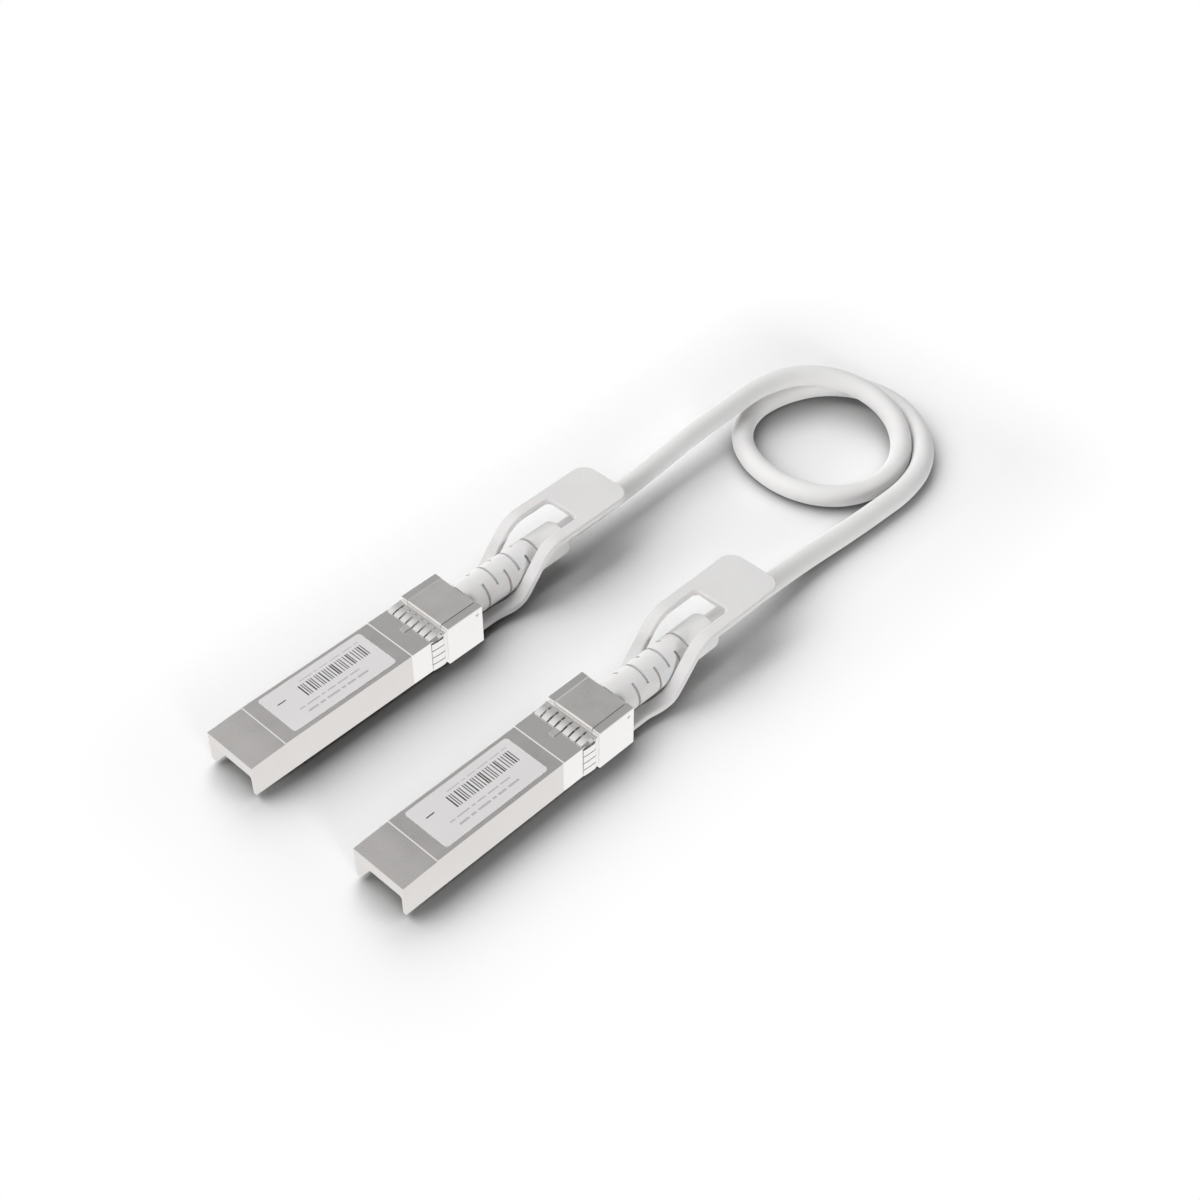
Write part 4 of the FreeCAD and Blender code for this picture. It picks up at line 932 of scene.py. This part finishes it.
@dataclass
class Plug:
    """One plug with its card, boot, release slide and pull tab. Its places are in millimetres."""

    suffix: str
    front: float
    middle: float
    cable_level: float = 5.7
    capacitor_from_front: float = 15.0
    finishes: dict[str, Finish] = field(init=False)

    def __post_init__(self) -> None:
        """Choose the finish of every piece."""
        ceramic = replace(CERAMIC, name=f"{CERAMIC.name}_{self.suffix}",
                          middle=self.front + self.capacitor_from_front)
        braid = replace(BRAID_TIN, name=f"{BRAID_TIN.name}_{self.suffix}",
                        axis_y=self.middle, axis_z=self.cable_level)
        self.finishes = {
            "front_cover": SATIN,
            "head_cap": CAP_METAL,
            "base_casting": BRIGHT,
            "spring_finger_clip": FINGER_METAL,
            "cap_pins": PIN_STEEL,
            "case_screw": SCREW_ZINC,
            "label": LABEL_FILM,
            "paddle_card": CARD_LACQUER,
            "contact_pads": PAD_GOLD,
            "memory_chip": CHIP_RESIN,
            "coupling_capacitors": ceramic,
            "signal_wires": CORE_FOAM,
            "conductor_tips": TIP_COPPER,
            "solder_joints": SOLDER_TIN,
            "crimp_ferrule": FERRULE_TIN,
            "shield_braid": braid,
            "strain_relief_boot": BOOT_SKIN,
            "pull_tab": TAB_SKIN,
            "release_slide": SLIDE_STEEL,
        }

    def dress(self) -> None:
        """Put each finish on its solid and report it."""
        for name, finish in self.finishes.items():
            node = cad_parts[f"{name}_{self.suffix}"]
            node.data.materials.clear()
            node.data.materials.append(finish.material())
            faces = len(node.data.polygons)
            LOG.info("%s_%s: %s, %d faces", name, self.suffix, finish.name, faces)

    def label_print(self) -> list[Piece]:
        """Make the pieces of print on the plug's label."""
        return LabelPrint(self.suffix, self.front, self.middle).build()

    def return_springs(self) -> Piece:
        """Make the pair of springs behind the plug's release slide."""
        return ReturnSprings(self.suffix).build()


@dataclass
class Lamp:
    """One soft lamp with a flat panel, aimed at the object and left out of reflections.

    Its distance and panel are in metres, and its power is in watts.
    """

    name: str
    towards: Triple
    distance: float
    width: float
    height: float
    power: float

    def build(self) -> None:
        """Hang the lamp."""
        direction = Vector(self.towards).normalized()
        bpy.ops.object.light_add(type="AREA", location=direction * self.distance)
        lamp = bpy.context.object
        lamp.name = self.name
        lamp.rotation_mode = "QUATERNION"
        lamp.rotation_quaternion = direction.to_track_quat("Z", "Y")
        lamp.data.shape = "RECTANGLE"
        lamp.data.size, lamp.data.size_y = self.width, self.height
        lamp.data.energy = self.power
        lamp.visible_glossy = False


@dataclass
class Studio:
    """Pale floor, a dim sky with a bright side and rim for the metal to mirror, and soft lamps.

    The floor's half width is in metres, and its other sizes are in millimetres.
    """

    floor_half: float = 8.0
    floor_drop: float = 0.02
    floor_tint: Triple = (0.905, 0.905, 0.905)
    floor_grain: float = 40.0
    floor_tones: Pair = (0.3, 0.7)
    floor_shade: float = 0.995
    floor_rough: float = 0.95
    shaded_reach: float = 4.0
    white_reach: float = 27.0
    # Painted shade: ambient occlusion darkens the floor's colour under the object, for the camera
    # only.
    painted_shade_reach: float = 26.0
    painted_shade_level: float = 0.28
    painted_shade_band: Pair = (0.18, 0.82)
    painted_shade_samples: int = 16
    sky_level: float = 0.004
    bright_side: Triple = (-0.85, 0.20, 0.48)
    side_stops: tuple[Pair, ...] = (
        (0.40, 0.36), (0.52, 0.385), (0.57, 0.41), (0.62, 0.56), (0.70, 0.76), (0.80, 0.92),
        (0.90, 1.0))
    rim_stops: tuple[Pair, ...] = ((0.0, 0.80), (0.46, 0.76), (0.60, 0.50), (0.65, 0.36))
    lamps: tuple[Lamp, ...] = (
        Lamp("high_lamp", (-0.022, 0.642, 0.766), 3.2, 7.0, 3.6, 203.0),
        Lamp("front_lamp", (-0.30, -1.00, 0.17), 2.2, 0.55, 0.55, 26.5),
        Lamp("left_lamp", (-0.857, 0.0, 0.515), 2.2, 1.6, 1.2, 14.6),
    )

    def beyond_object(self, board: NodeBoard) -> Socket:
        """Measure how far a place on the floor lies outside the object's box.

        Args:
            board: Board of the floor's material.

        Returns:
            The distance in metres, 0 below the object.
        """
        low, high = (Vector(corner) for corner in CAD_BOX)
        steps = (("SUBTRACT", (low + high) / 2), ("ABSOLUTE", ORIGIN),
                 ("SUBTRACT", (high - low) / 2), ("MAXIMUM", ORIGIN))
        reach = board.place
        for operation, amount in steps:
            step = board.add("ShaderNodeVectorMath", operation=operation)
            step.inputs[1].default_value = amount
            board.link(reach, step.inputs[0])
            reach = step.outputs["Vector"]
        distance = board.add("ShaderNodeVectorMath", operation="LENGTH")
        board.link(reach, distance.inputs[0])
        return distance.outputs["Value"]

    def painted_floor_shade(self, board: NodeBoard) -> Socket:
        """Paint shade into the floor's colour where it runs close under the object, for the
        camera.

        Args:
            board: Board of the floor's material.

        Returns:
            The share of the floor's colour left after the painted shade, 1 in the open.
        """
        opening = board.add("ShaderNodeAmbientOcclusion", samples=self.painted_shade_samples)
        opening.inputs["Distance"].default_value = self.painted_shade_reach * MM
        # Painted shade: the floor's colour is darkened where the object occludes it.
        share = board.spread(
            opening.outputs["AO"], (self.painted_shade_level, 1.0), self.painted_shade_band)
        unseen = board.spread(board.camera_rays(), (1.0, 0.0), UNIT)
        return board.sums("MAXIMUM", share, unseen)

    def floor(self) -> None:
        """Make the floor, white to the camera and in the metal except in the object's shadow and
        painted shade.
        """
        deselect()
        bpy.ops.mesh.primitive_plane_add(
            size=2 * self.floor_half, location=(0.0, 0.0, -self.floor_drop * MM))
        floor = bpy.context.object
        floor.name = "studio_floor"
        board = NodeBoard("floor_paper")
        tints = (shade(self.floor_tint, self.floor_shade), self.floor_tint)
        grain = board.noise(self.floor_grain, Detail.COARSE)
        tint = board.ramp(grain, list(zip(self.floor_tones, tints)))
        # Painted shade: the floor's tint is scaled down under the object.
        shaded = board.add("ShaderNodeVectorMath", operation="SCALE")
        board.link(tint, shaded.inputs[0])
        board.link(self.painted_floor_shade(board), shaded.inputs["Scale"])
        board.colour(shaded.outputs["Vector"])
        board.constant("Roughness", self.floor_rough)
        board.constant("Specular IOR Level", 0.0)
        fade = (self.shaded_reach * MM, self.white_reach * MM)
        far = board.spread(self.beyond_object(board), UNIT, fade)
        open_floor = board.sums("MULTIPLY", far, board.camera_rays())
        plain = board.sums("MAXIMUM", board.mirrored_rays(), open_floor)
        mixed = board.either(plain, board.shader.outputs["BSDF"], board.glow(WHITE))
        board.link(mixed, board.surface)
        floor.data.materials.append(board.material)

    def sky(self) -> None:
        """Make the sky: dim as a light, brighter where metal mirrors it, white to the camera."""
        world = bpy.data.worlds.new("studio_sky")
        bpy.context.scene.world = world
        world.use_nodes = True
        wiring = Wiring(world.node_tree)
        direction = wiring.add("ShaderNodeTexCoord").outputs["Generated"]
        dot = wiring.add("ShaderNodeVectorMath", operation="DOT_PRODUCT")
        dot.inputs[1].default_value = Vector(self.bright_side).normalized()
        wiring.link(direction, dot.inputs[0])
        share = wiring.spread(dot.outputs["Value"], UNIT, SIGNED)
        side = wiring.ramp(share, [(at, grey(level)) for at, level in self.side_stops])
        height = wiring.axes(direction)["Z"]
        rim = wiring.ramp(height, [(at, grey(level)) for at, level in self.rim_stops])
        dim = wiring.glow(grey(self.sky_level))
        bright = wiring.glow(wiring.sums("MAXIMUM", side, rim))
        lit = wiring.either(wiring.mirrored_rays(), dim, bright)
        seen = wiring.either(wiring.camera_rays(), lit, wiring.glow(WHITE))
        wiring.link(seen, wiring.add("ShaderNodeOutputWorld").inputs["Surface"])

    def build(self) -> None:
        """Make the floor, the sky and the lamps, and set plain colour handling."""
        self.floor()
        self.sky()
        for lamp in self.lamps:
            lamp.build()
        bpy.context.scene.view_settings.view_transform = "Standard"


def main() -> None:
    """Build and dress each sub-assembly in order and report its pieces."""
    logging.basicConfig(level=logging.INFO, format="%(name)s: %(message)s")
    PhotoCamera().build()
    cable = Cable()
    run = cable.build()
    cable.dress(run)
    LOG.info("%s: one spline of %d points", run.name, len(cable.route))
    for suffix, (front, middle) in PLUG_PLACES.items():
        plug = Plug(suffix, front, middle)
        plug.dress()
        for piece in plug.label_print() + [plug.return_springs()]:
            LOG.info("%s: %d faces", piece.name, len(piece.data.polygons))
    Studio().build()


if __name__ == "__main__":
    main()
